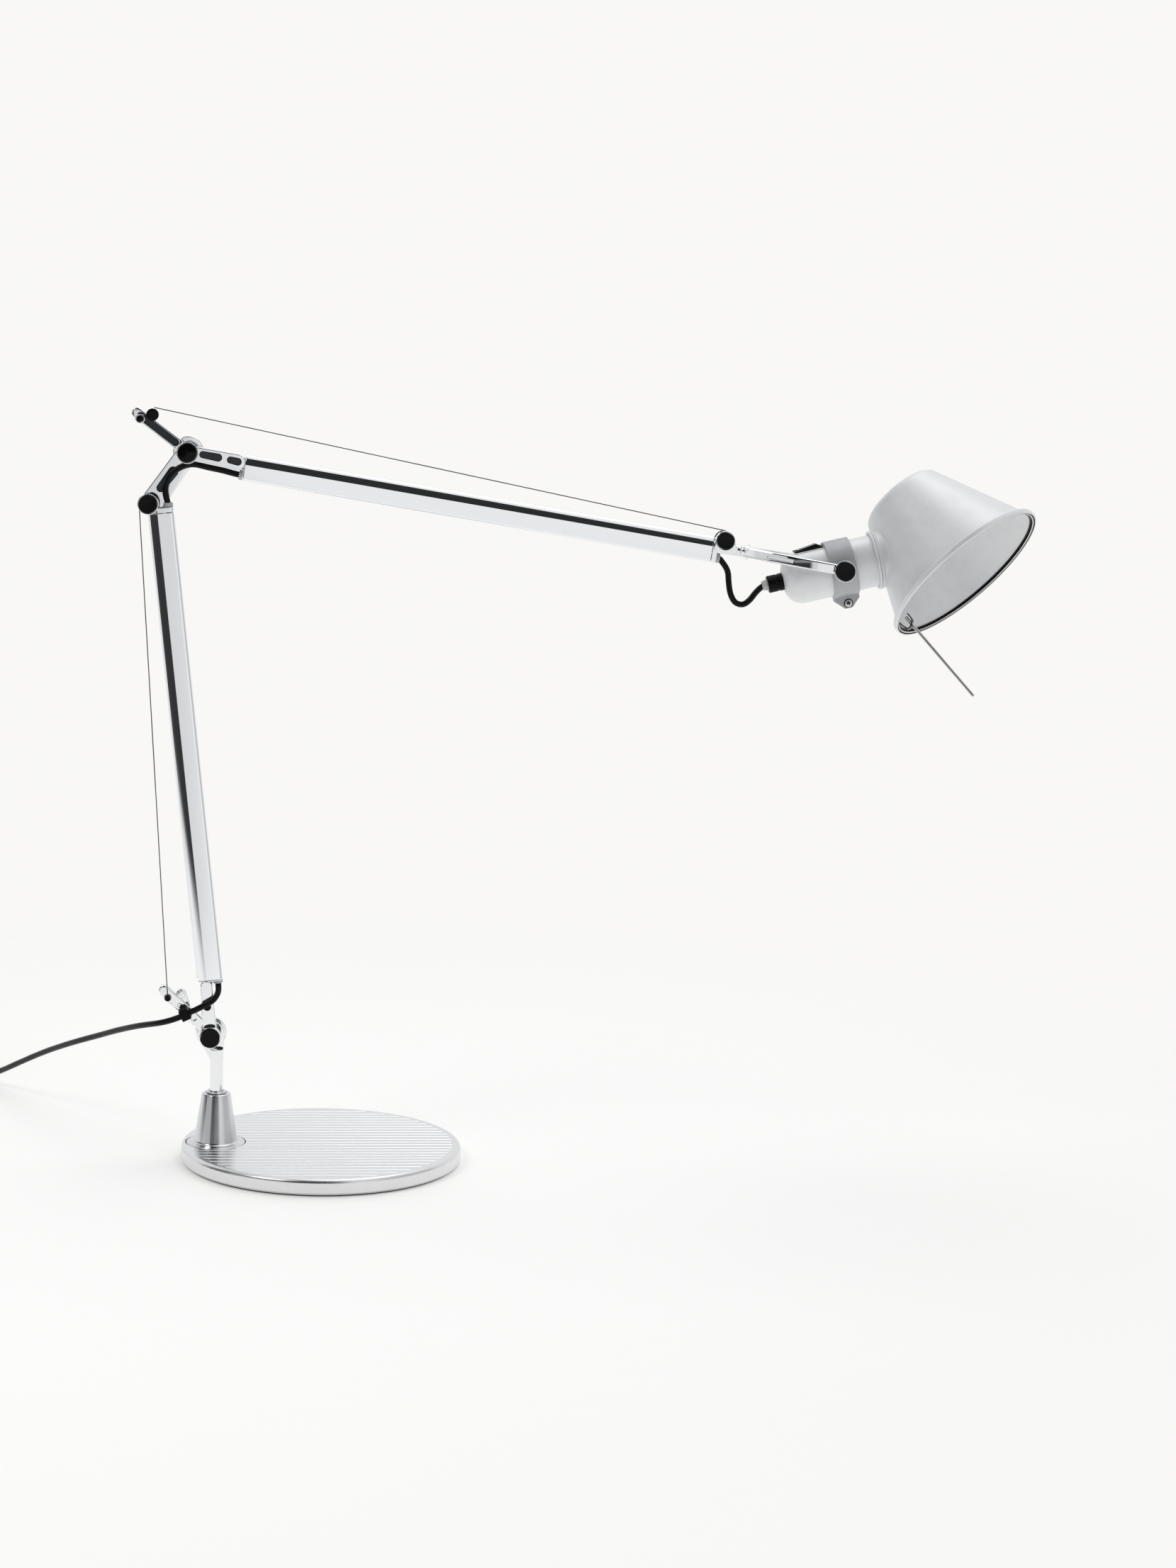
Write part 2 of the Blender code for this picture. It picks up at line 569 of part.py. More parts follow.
# ---- yoke ---------------------------------------------------------------------------------------
def prong_path():
    """Half of the fork in (s, f): from the swivel, out and forward to the head's pivot."""
    return [(YOKE_ROOT + 0.0035, 0.0022), (0.4000, 0.0052), (0.4080, 0.0105), (0.4180, 0.0160), (0.4300, 0.0203),
            (0.4430, 0.0227), (0.4540, PRONG_F), (HEAD_S, PRONG_F)]


def offset_path(path, distance):
    out = []
    for i, (s, f) in enumerate(path):
        a, b = path[max(i - 1, 0)], path[min(i + 1, len(path) - 1)]
        length = math.hypot(b[0] - a[0], b[1] - a[1])
        out.append((s - (b[1] - a[1]) / length * distance, f + (b[0] - a[0]) / length * distance))
    return out


def make_yoke():
    path = prong_path()
    outer, inner = offset_path(path, PRONG_THICK / 2), offset_path(path, -PRONG_THICK / 2)
    crotch = (0.4012, 0.0)
    inner = [p for p in inner if p[1] > 0.0012]
    outline = [(YOKE_ROOT, 0.0042)] + outer + inner[::-1] + [crotch]
    outline = outline + [(s, -f) for s, f in reversed(outline[:-1])]
    yoke = plate("yoke", [outline], -PRONG_WIDTH / 2, PRONG_WIDTH / 2)
    flat = frame((0, YOKE_N, 0), (1, 0, 0), (0, 0, 1))  # x along the arm, y towards the front
    yoke.data.transform(flat)
    for side in (-1, 1):
        tip = cylinder("prong_eye", 0.0062, PRONG_F - PRONG_THICK / 2, PRONG_F + PRONG_THICK / 2, 24)
        turn = Matrix.Translation((HEAD_S, HEAD_N, 0)) @ Matrix.Rotation(0 if side > 0 else math.pi, 4, "X")
        join(yoke, tip, UPPER @ turn)
    cut(yoke, cylinder("pivot_bores", 0.0026, -0.04, 0.04, 16), front_axis(UPPER, HEAD_S, HEAD_N))
    swivel = section_frame(UPPER, 0) @ Matrix.Translation((YOKE_N, 0, 0))
    join(yoke, cylinder("swivel_pin", 0.0020, 0.3881, 0.3960, 16), swivel)
    add(yoke, UPPER, "yoke", "polished_aluminium")


# ---- head ---------------------------------------------------------------------------------------
def neck_frame(n=0.0, f=0.0):
    """z along the neck, x towards the top of the head."""
    return HEAD @ frame((0, n, f), (0, 1, 0), (0, 0, 1))


def make_head():
    low, high = BAND_U
    band = washer("clamp_band", BODY_R + GAP, BAND_R, low, high, 32)
    lug = plate("clamp_lug", [[(low, -0.0195), (high, -0.0195), (high, -0.0225), (high - 0.0062, -0.0287),
                               (low + 0.0062, -0.0287), (low, -0.0225)]], -0.0040, 0.0040)
    join(band, lug, HEAD)
    cut(band, box("clamp_gap", (low - 0.001, -0.030, -0.0007), (high + 0.001, -0.0150, 0.0007)), HEAD)
    screw_at = HEAD @ Matrix.Translation((0.0012, -0.0252, 0))
    cut(band, cylinder("clamp_bore", 0.0016, -0.008, 0.008, 12), screw_at)
    add(band, neck_frame(), "head", "cast_grey")
    add(turned("clamp_screw", [(0, 0.0061), (0.0024, 0.0055), (0.0026, 0.0043), (0.0012, 0.0043), (0.0012, -0.0045),
                               (0, -0.0045)], 20), screw_at, "head", "steel")

    rear = 0.012
    back = [(BODY_R - rear + rear * math.sin(a), HOUSING_REAR + rear - rear * math.cos(a))
            for a in [math.radians(x) for x in (90, 67, 45, 22, 0)]]
    cup = turned("socket_housing", [(0, 0.0)] + [(BODY_R, 0.0)] + back + [(0, HOUSING_REAR)], 28)
    join(cup, box("switch_platform", (PLATFORM_U[0], 0.006, -PLATFORM_F), (PLATFORM_U[1], PLATFORM_N, PLATFORM_F)),
         HEAD)
    cut(cup, box("flat_top", (PLATFORM_U[0] + 0.0003, PLATFORM_N, -0.02), (PLATFORM_U[1], 0.03, 0.02)), HEAD)
    cut(cup, cylinder("cup_hollow", 0.0160, HOUSING_REAR + 0.0125, 0.001, 24))
    cut(cup, cylinder("cord_way", 0.0040, HOUSING_REAR - 0.001, HOUSING_REAR + 0.014, 16))
    cut(cup, box("switch_window", (PLATFORM_U[0] + 0.0022, 0.010, -ROCKER_HALF_F - 0.0006),
                 (PLATFORM_U[1] - 0.0014, 0.020, ROCKER_HALF_F + 0.0006)), HEAD)
    add(cup, neck_frame(), "head", "satin_aluminium")

    neck = washer("neck_tube", 0.0168, BODY_R, GAP, NECK_END, 28)
    add(neck, neck_frame(), "head", "satin_aluminium")

    window = [(PLATFORM_U[0] + 0.0022, -ROCKER_HALF_F - 0.0006), (PLATFORM_U[1] - 0.0014, -ROCKER_HALF_F - 0.0006),
              (PLATFORM_U[1] - 0.0014, ROCKER_HALF_F + 0.0006), (PLATFORM_U[0] + 0.0022, ROCKER_HALF_F + 0.0006)]
    border = [(PLATFORM_U[0] + 0.0006, -0.0066), (PLATFORM_U[1] - 0.0003, -0.0066),
              (PLATFORM_U[1] - 0.0003, 0.0066), (PLATFORM_U[0] + 0.0006, 0.0066)]
    bezel = plate("switch_bezel", [border, window], PLATFORM_N + GAP, PLATFORM_N + 0.0013)
    bezel.data.transform(frame((0, 0, 0), (1, 0, 0), (0, 0, 1)) @ Matrix.Scale(-1, 4, (0, 0, 1)))
    bezel.data.flip_normals()
    add(bezel, HEAD, "head", "black_plastic")

    u0, u1 = PLATFORM_U[0] + 0.0028, PLATFORM_U[1] - 0.0020
    rocker = plate("switch_rocker", [[(u0, 0.0150), (u1, 0.0150), (u1, 0.0196), (-0.0135, 0.0210), (u0, 0.0194)]],
                   -ROCKER_HALF_F, ROCKER_HALF_F)
    add(rocker, HEAD, "rocker", "black_plastic")

    seat = HOUSING_REAR - GAP
    nut = turned("gland_nut", [(0.0062, seat), (0.0062, -0.0519), (0.0056, -0.0525), (CORD_R + 2 * GAP, -0.0525),
                               (CORD_R + 2 * GAP, seat)], 18, closed=True)
    add(nut, neck_frame(), "head", "black_plastic")

    holder = [(0, 0.0120), (0.0080, 0.0120), (0.0080, 0.0310), (0.0138, 0.0310), (0.0138, 0.0040), (0, 0.0040)]
    add(turned("lamp_holder", holder, 18), neck_frame(), "head", "ceramic")
    bulb = [(0, 0.0740), (0.0075, 0.0722), (0.0130, 0.0665), (0.0155, 0.0580), (0.0150, 0.0500), (0.0115, 0.0400),
            (0.0074, 0.0330), (0.0070, 0.0316), (0.0070, 0.0150), (0.0030, 0.0130), (0, 0.0130)]
    add(turned("bulb", bulb, 16), neck_frame(), "head", "glass")

    edge = PRONG_F + PRONG_THICK / 2 + GAP
    seat, rim = edge + 0.0018, edge + 0.0026
    screw = [(0, seat), (CAP_R + GAP, seat), (CAP_R + GAP, rim), (KNOB_R - 0.0003, rim), (KNOB_R, rim - 0.0003),
             (KNOB_R, edge), (0.0023, edge), (0.0023, BAND_R + GAP), (0, BAND_R + GAP)]
    cap = [(0, edge + 0.0040), (CAP_R - 0.0005, edge + 0.0040), (CAP_R, edge + 0.0035), (CAP_R, seat + GAP),
           (0, seat + GAP)]
    for side, turn in (("front", 0), ("back", math.pi)):
        face = HEAD @ Matrix.Rotation(turn, 4, "X")
        add(turned("head_screw_" + side, screw, 18), face, "head", "polished_aluminium")
        add(turned("head_cap_" + side, cap, 18), face, "head", "black_plastic")


# ---- shade --------------------------------------------------------------------------------------
def shade_frame():
    """z points back along the shade's axis, x towards the neck's side."""
    axis = shade_axis()
    side = (-NECK - axis * axis.dot(-NECK)).normalized()
    return frame(SHADE_AT, side, (-axis).cross(side))


def shade_profile():
    """Down the outside from the closed end to the lip, and back up the inside."""
    outer = [(0, SHADE_BACK)]
    for a in (0, 30, 60, 80):
        t = math.radians(a)
        outer.append((SHADE_BACK_R - SHADE_ROUND + SHADE_ROUND * math.sin(t),
                      SHADE_BACK - SHADE_ROUND + SHADE_ROUND * math.cos(t)))
    outer += [(SHADE_MOUTH_R, SHADE_LIP_DEPTH - SHADE_FRONT), (SHADE_LIP_R - 0.0006, SHADE_LIP_DEPTH - SHADE_FRONT),
              (SHADE_LIP_R, SHADE_LIP_DEPTH - 0.0006 - SHADE_FRONT), (SHADE_LIP_R, -SHADE_FRONT)]
    inner = [(SHADE_LIP_R - SHADE_WALL, -SHADE_FRONT), (SHADE_LIP_R - SHADE_WALL, -SHADE_FRONT + 0.0022),
             (SHADE_MOUTH_R - SHADE_WALL * 0.6, -SHADE_FRONT + 0.0028)]
    for a in (80, 60, 30, 0):
        t = math.radians(a)
        inner.append((SHADE_BACK_R - SHADE_ROUND + (SHADE_ROUND - SHADE_WALL) * math.sin(t),
                      SHADE_BACK - SHADE_ROUND + (SHADE_ROUND - SHADE_WALL) * math.cos(t)))
    return outer + inner + [(0, SHADE_BACK - SHADE_WALL)]


def make_shade():
    place = shade_frame()
    shade = turned("shade", shade_profile(), 36)
    join(shade, cylinder("shade_stub", 0.0210, NECK_END - 0.0020, NECK_END + 0.0052, 28), neck_frame())
    cut(shade, cylinder("neck_hole", BODY_R + 0.0005, 0.015, 0.060, 28), neck_frame())
    add(shade, place, "shade", "matte_silver_paint")
    wire_r = 0.0009
    ring_r, down = SHADE_LIP_R - SHADE_WALL - GAP - wire_r, -SHADE_FRONT + 0.0011
    section = [(ring_r + wire_r * math.cos(a), down + wire_r * math.sin(a))
               for a in [math.radians(60 - 60 * i) for i in range(6)]]
    add(turned("rim_ring", section, 36, closed=True), place, "shade", "steel")
    hang = place @ Matrix.Rotation(math.radians(-CLIP_AZIMUTH), 4, "Z")
    clip = box("shade_clip", (ROD_RADIAL - 0.0018, -0.0020, -SHADE_FRONT + 0.0020),
               (SHADE_MOUTH_R - 0.0030, 0.0020, -SHADE_FRONT + 0.0062))
    cut(clip, cylinder("rod_bore", ROD_R + GAP, -0.060, 0.060, 12), hang @ Matrix.Translation((ROD_RADIAL, 0, 0)))
    add(clip, hang, "shade", "steel")
    add(cylinder("shade_rod", ROD_R, -SHADE_FRONT - 0.0705, -SHADE_FRONT + 0.0060, 12),
        hang @ Matrix.Translation((ROD_RADIAL, 0, 0)), "shade", "steel")


# ---- cords --------------------------------------------------------------------------------------
def on_arm(arm, s, n, f=0.0):
    return arm @ Vector((s, n, f))


ELBOW_ROUTE = [on_arm(LOWER, TUBE_END - 0.010, CORD_BORE_N), on_arm(LOWER, TUBE_END + 0.001, CORD_BORE_N),
               on_arm(LOWER, TUBE_END + 0.006, CORD_BORE_N),
               (-0.1164, -0.0006, 0.4760), (-0.1146, -0.0012, 0.4836),
               (-0.1102, -0.0014, 0.4895), (-0.1042, -0.0014, 0.4934), (-0.0965, -0.0014, 0.4950),
               (-0.0870, -0.0010, 0.4930), (-0.0770, -0.0004, 0.4912), on_arm(UPPER, TUBE_START - 0.004, CORD_BORE_N),
               on_arm(UPPER, TUBE_START + 0.010, CORD_BORE_N)]
HEAD_ROUTE = [on_arm(UPPER, TUBE_END - 0.010, CORD_BORE_N), on_arm(UPPER, TUBE_END + 0.005, CORD_BORE_N),
              (0.2742, 0, 0.4365), (0.2786, 0, 0.4300), (0.2797, 0, 0.4220), (0.2812, 0, 0.4140),
              (0.2848, 0, 0.4078), (0.2905, 0, 0.4064), (0.2953, 0, 0.4098), (0.2992, 0, 0.4150),
              HEAD @ Vector((-0.0555, -0.0002, 0)), HEAD @ Vector((-0.0490, 0, 0)), HEAD @ Vector((-0.0425, 0, 0))]
CLIP_AT = CLIP @ Vector((0, 0, CLIP_F))
CLIP_RUN = CLIP.to_3x3() @ Vector((-1, 0, 0))
EXIT_ROUTE = [on_arm(LOWER, TUBE_START + 0.010, CORD_BORE_N), on_arm(LOWER, TUBE_START - 0.0045, CORD_BORE_N),
              (-0.0752, -0.0046, 0.1218), (-0.0786, -0.0087, 0.1172), (-0.0842, -0.0088, 0.1138),
              (-0.0905, -0.0076, 0.1101), CLIP_AT - CLIP_RUN * 0.0038, CLIP_AT - CLIP_RUN * 0.0004]
FREE_ROUTE = [CLIP_AT + CLIP_RUN * 0.0004, CLIP_AT + CLIP_RUN * 0.0050, (-0.1095, -0.0045, 0.1012),
              (-0.1180, 0.0020, 0.0978), (-0.1320, 0.0190, 0.0920), (-0.1480, 0.0440, 0.0830),
              (-0.1650, 0.0700, 0.0725), (-0.1860, 0.1000, 0.0600), (-0.2085, 0.1340, 0.0450),
              (-0.2300, 0.1660, 0.0290), (-0.2480, 0.1940, 0.0150), (-0.2600, 0.2150, 0.0070),
              (-0.2660, 0.2350, 0.0032), (-0.2675, 0.2530, 0.0023), (-0.2672, 0.2640, 0.0022)]


def make_cords():
    wire("elbow_cord", smooth_path(ELBOW_ROUTE, 2), CORD_R, "cord_black", "lower_arm")
    wire("head_cord", smooth_path(HEAD_ROUTE, 2), CORD_R, "cord_black", "upper_arm")
    wire("exit_cord", smooth_path(EXIT_ROUTE, 2), CORD_R, "cord_black", "stem")
    wire("power_cord", smooth_path(FREE_ROUTE, 3), CORD_R, "cord_black")
    inner, outer, top = COIL_TURN_R - COIL_HALF, COIL_TURN_R + COIL_HALF, 2 * COIL_HALF
    bite = 0.0015
    ring = [(inner + bite, top), (outer - bite, top), (outer, top - bite), (outer, bite), (outer - bite, 0.0),
            (inner + bite, 0.0), (inner, bite), (inner, top - bite)]
    add(turned("cord_coil", ring, 28, closed=True), Matrix.Translation(COIL_AT), None, "cord_black")
    turn = math.radians(225)
    out = Vector((math.cos(turn), math.sin(turn), 0))
    place = frame(COIL_AT + out * COIL_TURN_R + Vector((0, 0, COIL_HALF)), out, (0, 0, 1))
    wrap = COIL_HALF + GAP
    thick = 0.0012
    tie = box("cord_tie", (-wrap - thick, GAP - COIL_HALF, -0.0025), (wrap + thick, wrap + thick, 0.0025))
    cut(tie, box("tie_gap", (-wrap, -wrap - 0.001, -0.004), (wrap, wrap, 0.004)))
    add(tie, place, None, "black_plastic")
    plug_at = COIL_AT + Vector((-0.040, COIL_TURN_R + 0.004, 0))
    plug_place = axis_frame(plug_at + Vector((0, 0, 0.0070)), (-1, 0, 0), (0, 0, 1))
    plug = plate("plug", [hull((-0.0032, 0, 0.0068), (0.0032, 0, 0.0068))], 0.0, 0.0340)
    strain = cylinder("plug_strain", 0.0032, -0.016, 0.001, 16, 0.0050)
    join(plug, strain)
    for side in (-1, 1):
        pin = cylinder("plug_pin", 0.0020, 0.033, 0.0520, 12)
        pin.data.transform(Matrix.Translation((side * 0.0048, 0, 0)))
        join(plug, pin)
    add(plug, plug_place, None, "black_plastic")


# ---- the lamp -----------------------------------------------------------------------------------
pivot("stem", (HUB_X, 0, 0))
pivot("lower_arm", LOWER_PIVOT, "stem")
pivot("upper_arm", ELBOW, "lower_arm")
pivot("yoke", UPPER @ Vector((YOKE_ROOT, YOKE_N, 0)), "upper_arm")
pivot("head", HEAD_AT, "yoke")
pivot("shade", SHADE_AT, "head")
pivot("rocker", HEAD @ Vector((ROCKER_U, 0.0165, 0)), "head")
pivot("lower_pulley", LOWER @ Vector((PULLEY_S, PULLEY_N, 0)), "lower_arm")
pivot("upper_pulley", UPPER @ Vector((PULLEY_S, PULLEY_N, 0)), "upper_arm")
pivot("lower_cable_foot", ANCHOR, "stem")
pivot("lower_cable_head", LOWER @ Vector((PULLEY_S, PULLEY_N, 0)), "lower_arm")
pivot("upper_cable_foot", ROLLER, "lower_arm")
pivot("upper_cable_head", UPPER @ Vector((PULLEY_S, PULLEY_N, 0)), "upper_arm")

make_base()
make_stem()
make_lower_pivot()
make_lower_arm()
make_upper_arm()
make_cables()
make_yoke()
make_head()
make_shade()
make_cords()
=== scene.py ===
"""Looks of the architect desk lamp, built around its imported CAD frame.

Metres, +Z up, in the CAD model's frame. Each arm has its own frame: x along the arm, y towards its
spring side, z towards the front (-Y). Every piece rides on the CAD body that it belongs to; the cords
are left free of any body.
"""

import json
import math

import bmesh
import bpy
from mathutils import Matrix, Vector
from mathutils.bvhtree import BVHTree

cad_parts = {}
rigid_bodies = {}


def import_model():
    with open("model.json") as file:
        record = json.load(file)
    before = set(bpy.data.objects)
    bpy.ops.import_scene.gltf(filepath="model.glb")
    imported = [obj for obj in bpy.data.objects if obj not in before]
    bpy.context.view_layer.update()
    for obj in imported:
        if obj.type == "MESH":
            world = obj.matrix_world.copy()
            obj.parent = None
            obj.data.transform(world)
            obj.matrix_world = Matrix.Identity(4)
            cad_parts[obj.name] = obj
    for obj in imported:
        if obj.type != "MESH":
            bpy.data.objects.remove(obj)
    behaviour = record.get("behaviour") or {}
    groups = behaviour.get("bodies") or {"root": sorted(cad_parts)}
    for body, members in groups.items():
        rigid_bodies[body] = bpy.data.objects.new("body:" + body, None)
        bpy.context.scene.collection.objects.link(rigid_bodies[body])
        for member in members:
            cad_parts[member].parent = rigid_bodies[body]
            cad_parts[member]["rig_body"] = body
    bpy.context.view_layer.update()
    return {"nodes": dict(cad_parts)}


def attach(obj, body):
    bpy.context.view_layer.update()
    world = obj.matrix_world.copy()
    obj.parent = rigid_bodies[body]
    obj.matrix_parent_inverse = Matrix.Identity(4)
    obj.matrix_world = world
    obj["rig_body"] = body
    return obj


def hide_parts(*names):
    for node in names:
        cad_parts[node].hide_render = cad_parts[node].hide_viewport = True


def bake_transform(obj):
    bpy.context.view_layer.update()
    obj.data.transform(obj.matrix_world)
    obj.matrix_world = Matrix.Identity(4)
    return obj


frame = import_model()

# ---- driving dimensions, as in the CAD ----------------------------------------------------------
GAP = 0.0003
BASE_R, BASE_TOP, BASE_FLOOR = 0.100, 0.0123, 0.0015
HUB_X, HUB_FLANGE_R, HUB_FOOT_R, HUB_TOP_R, HUB_TOP = -0.0756, 0.021, 0.0152, 0.0103, 0.0483
STEM_R, STEM_TOP = 0.0047, 0.080
LOWER_PIVOT, LOWER_ANGLE = Vector((-0.0802, 0, 0.0904)), 96.55
ELBOW, UPPER_ANGLE = Vector((-0.1009, 0, 0.5030)), -8.39
ANCHOR, LEVER_TIP, LUG = Vector((-0.1108, 0, 0.1166)), Vector((-0.1135, 0, 0.1215)), Vector((-0.1014, 0,
                                                                                             0.1186))
ROLLER, HOOK = ELBOW + Vector((-0.0246, 0, 0.0252)), ELBOW + Vector((-0.0332, 0, 0.0222))
ELBOW_LEVER_TIP = ELBOW + Vector((-0.0352, 0, 0.0260))
ROLLER_R, ANCHOR_R = 0.0043, 0.00205

TUBE_START, TUBE_LENGTH = 0.0404, 0.3316
TUBE_END = TUBE_START + TUBE_LENGTH
TUBE_WIDTH, TUBE_DEPTH, TUBE_OFFSET = 0.0184, 0.011, -0.0036
CORD_SIDE_R = 0.0024
SPRING_BORE_R, SPRING_BORE_N = 0.0043, -0.0013
CORD_BORE_R, CORD_BORE_N = 0.0027, -0.0092
PULLEY_S, PULLEY_N, PULLEY_R, PULLEY_FLANGE_R = 0.3795, 0.0040, 0.0056, 0.0068
CABLE_R, CABLE_OVERLAP = 0.0004, 0.045
BACK, FRONT = (-0.0082, -0.0020), (-0.0016, 0.0052)
EYE_R, PLATE_R, KNOB_R, CAP_R = 0.0050, 0.0095, 0.0076, 0.0067
CAP_SEAT, RING_FACE, CAP_TOP = 0.0094, 0.0110, 0.0121
END_BLOCK, TOP_COLLAR, AXLE_BORE_R, HOOK_BORE_R = 0.0036, 0.0068, 0.0018, 0.0026
BOLT_R, LOWER_CAP_R, UPPER_CAP_R = 0.0030, 0.0064, 0.0060

YOKE_N, YOKE_ROOT, HEAD_S, HEAD_N = -0.0015, 0.3925, 0.4641, -0.0018
PRONG_WIDTH, PRONG_THICK, PRONG_F = 0.0073, 0.0042, 0.0234
HEAD_ANGLE, BODY_R, BAND_R = 14.2, 0.0185, 0.0208
BAND_U = (-0.008, 0.010)
HOUSING_REAR, NECK_END = -0.041, 0.0275
PLATFORM_U, PLATFORM_N, PLATFORM_F = (-0.0295, -0.0085), 0.0178, 0.0075
ROCKER_HALF_F = 0.0042

SHADE_U, SHADE_AXIS_DEG, SHADE_ROLL_DEG = 0.075, 66.7, 29.65
SHADE_BACK, SHADE_FRONT, SHADE_BACK_R, SHADE_MOUTH_R = 0.0479, 0.0288, 0.0321, 0.0601
SHADE_LIP_R, SHADE_LIP_DEPTH, SHADE_WALL, SHADE_ROUND = 0.0631, 0.0040, 0.0012, 0.008
CLIP_AZIMUTH, ROD_RADIAL, ROD_R, ROD_DROP = 20.0, 0.052, 0.0011, 0.0705
CORD_R, COIL_TURN_R = 0.00215, 0.0245
COIL_AT = Vector((-0.300, 0.285, 0.0))
AROUND = 96  # facets round a turned piece


# ---- frames -------------------------------------------------------------------------------------
def axes(origin, x, y):
    """A matrix whose columns are x, y and x cross y, at origin."""
    x, y = Vector(x).normalized(), Vector(y).normalized()
    made = Matrix((x, y, x.cross(y))).transposed().to_4x4()
    made.translation = Vector(origin)
    return made


def arm_frame(origin, degrees):
    a = math.radians(degrees)
    return axes(origin, (math.cos(a), 0, math.sin(a)), (-math.sin(a), 0, math.cos(a)))


def axis_frame(origin, direction, side=(0, 1, 0)):
    z = Vector(direction).normalized()
    x = Vector(side).cross(z).normalized()
    return axes(origin, x, z.cross(x))


LOWER, UPPER = arm_frame(LOWER_PIVOT, LOWER_ANGLE), arm_frame(ELBOW, UPPER_ANGLE)
HEAD_AT = UPPER @ Vector((HEAD_S, HEAD_N, 0))
HEAD = arm_frame(HEAD_AT, HEAD_ANGLE)
NECK = HEAD.to_3x3() @ Vector((1, 0, 0))
SHADE_AT = HEAD @ Vector((SHADE_U, 0, 0))
XZ_FRONT = axes((0, 0, 0), (1, 0, 0), (0, 0, 1))
CLIP_F = 0.0062
CLIP = axes((-0.0982, 0, 0.1062), (0.895, 0, 0.446), (-0.446, 0, 0.895))


def at(arm, s, n, f=0.0):
    return arm @ Vector((s, n, f))


def shift(x, y, z=0.0):
    return Matrix.Translation((x, y, z))


def moved(arm, s, n, f=0.0):
    return arm @ shift(s, n, f)


def section_frame(arm, s):
    """x towards the spring side, y towards the front, z along the arm."""
    return arm @ axes((s, 0, 0), (0, 1, 0), (0, 0, 1))


def shade_frame():
    """z points back along the shade's axis, x towards the neck's side."""
    tilt, roll = math.radians(SHADE_AXIS_DEG), math.radians(SHADE_ROLL_DEG)
    down = Vector((0, -math.cos(roll), math.sin(roll)))
    axis = HEAD.to_3x3() @ (Vector((math.cos(tilt), 0, 0)) + down * math.sin(tilt))
    side = (-NECK - axis * axis.dot(-NECK)).normalized()
    return axes(SHADE_AT, side, (-axis).cross(side))


SHADE = shade_frame()
ALONG = section_frame(Matrix(), 0)  # z along the arm's own x
NECK_LINE = section_frame(HEAD, 0)  # z along the neck, x towards the head's top


# ---- materials ----------------------------------------------------------------------------------
def set_inputs(node, **values):
    """Sets a node's inputs; an underscore in a name stands for a space."""
    for name, value in values.items():
        node.inputs[name.replace("_", " ")].default_value = value


def surface(name, slot, colour, metallic, roughness, grain, bump=0.0, stretch=(1, 1, 1), tint=0.04, speck=0.0,
            specular=0.5):
    """A Principled surface whose roughness, colour and relief vary with a fine noise of size grain.

    roughness is (low, high), bump the relief's depth, tint how much the colour varies, and stretch
    draws the noise out along the piece's own axes. speck adds a second, sharper grain to the colour.
    """
    made = bpy.data.materials.new(name)
    made.use_nodes = True
    nodes, link = made.node_tree.nodes, made.node_tree.links.new
    shader = nodes["Principled BSDF"]
    set_inputs(shader, Metallic=metallic, Specular_IOR_Level=specular)
    where = nodes.new("ShaderNodeTexCoord")
    scaled = nodes.new("ShaderNodeMapping")
    scaled.inputs["Scale"].default_value = stretch
    link(where.outputs["Object"], scaled.inputs["Vector"])
    fine, broad = nodes.new("ShaderNodeTexNoise"), nodes.new("ShaderNodeTexNoise")
    set_inputs(fine, Scale=1 / grain, Detail=3.0)
    set_inputs(broad, Scale=0.05 / grain, Detail=2.0)
    for noise in (fine, broad):
        link(scaled.outputs["Vector"], noise.inputs["Vector"])
    shine = nodes.new("ShaderNodeMapRange")
    set_inputs(shine, From_Min=0.35, From_Max=0.65, To_Min=roughness[0], To_Max=roughness[1])
    link(broad.outputs["Fac"], shine.inputs["Value"])
    link(shine.outputs["Result"], shader.inputs["Roughness"])
    shades = nodes.new("ShaderNodeValToRGB")
    low, high = shades.color_ramp.elements
    low.position, high.position = 0.3, 0.7
    low.color = (*[c * (1 - tint) for c in colour], 1)
    high.color = (*[min(c * (1 + tint), 1) for c in colour], 1)
    mixed = nodes.new("ShaderNodeMath")
    mixed.operation, mixed.use_clamp = "MULTIPLY_ADD", True
    mixed.inputs[1].default_value = speck
    link(fine.outputs["Fac"], mixed.inputs[0])
    link(broad.outputs["Fac"], mixed.inputs[2])
    link(mixed.outputs["Value"], shades.inputs["Fac"])
    link(shades.outputs["Color"], shader.inputs["Base Color"])
    if bump:
        relief = nodes.new("ShaderNodeBump")
        set_inputs(relief, Strength=1.0, Distance=bump)
        link(fine.outputs["Fac"], relief.inputs["Height"])
        link(relief.outputs["Normal"], shader.inputs["Normal"])
    made["slot"] = slot
    return made


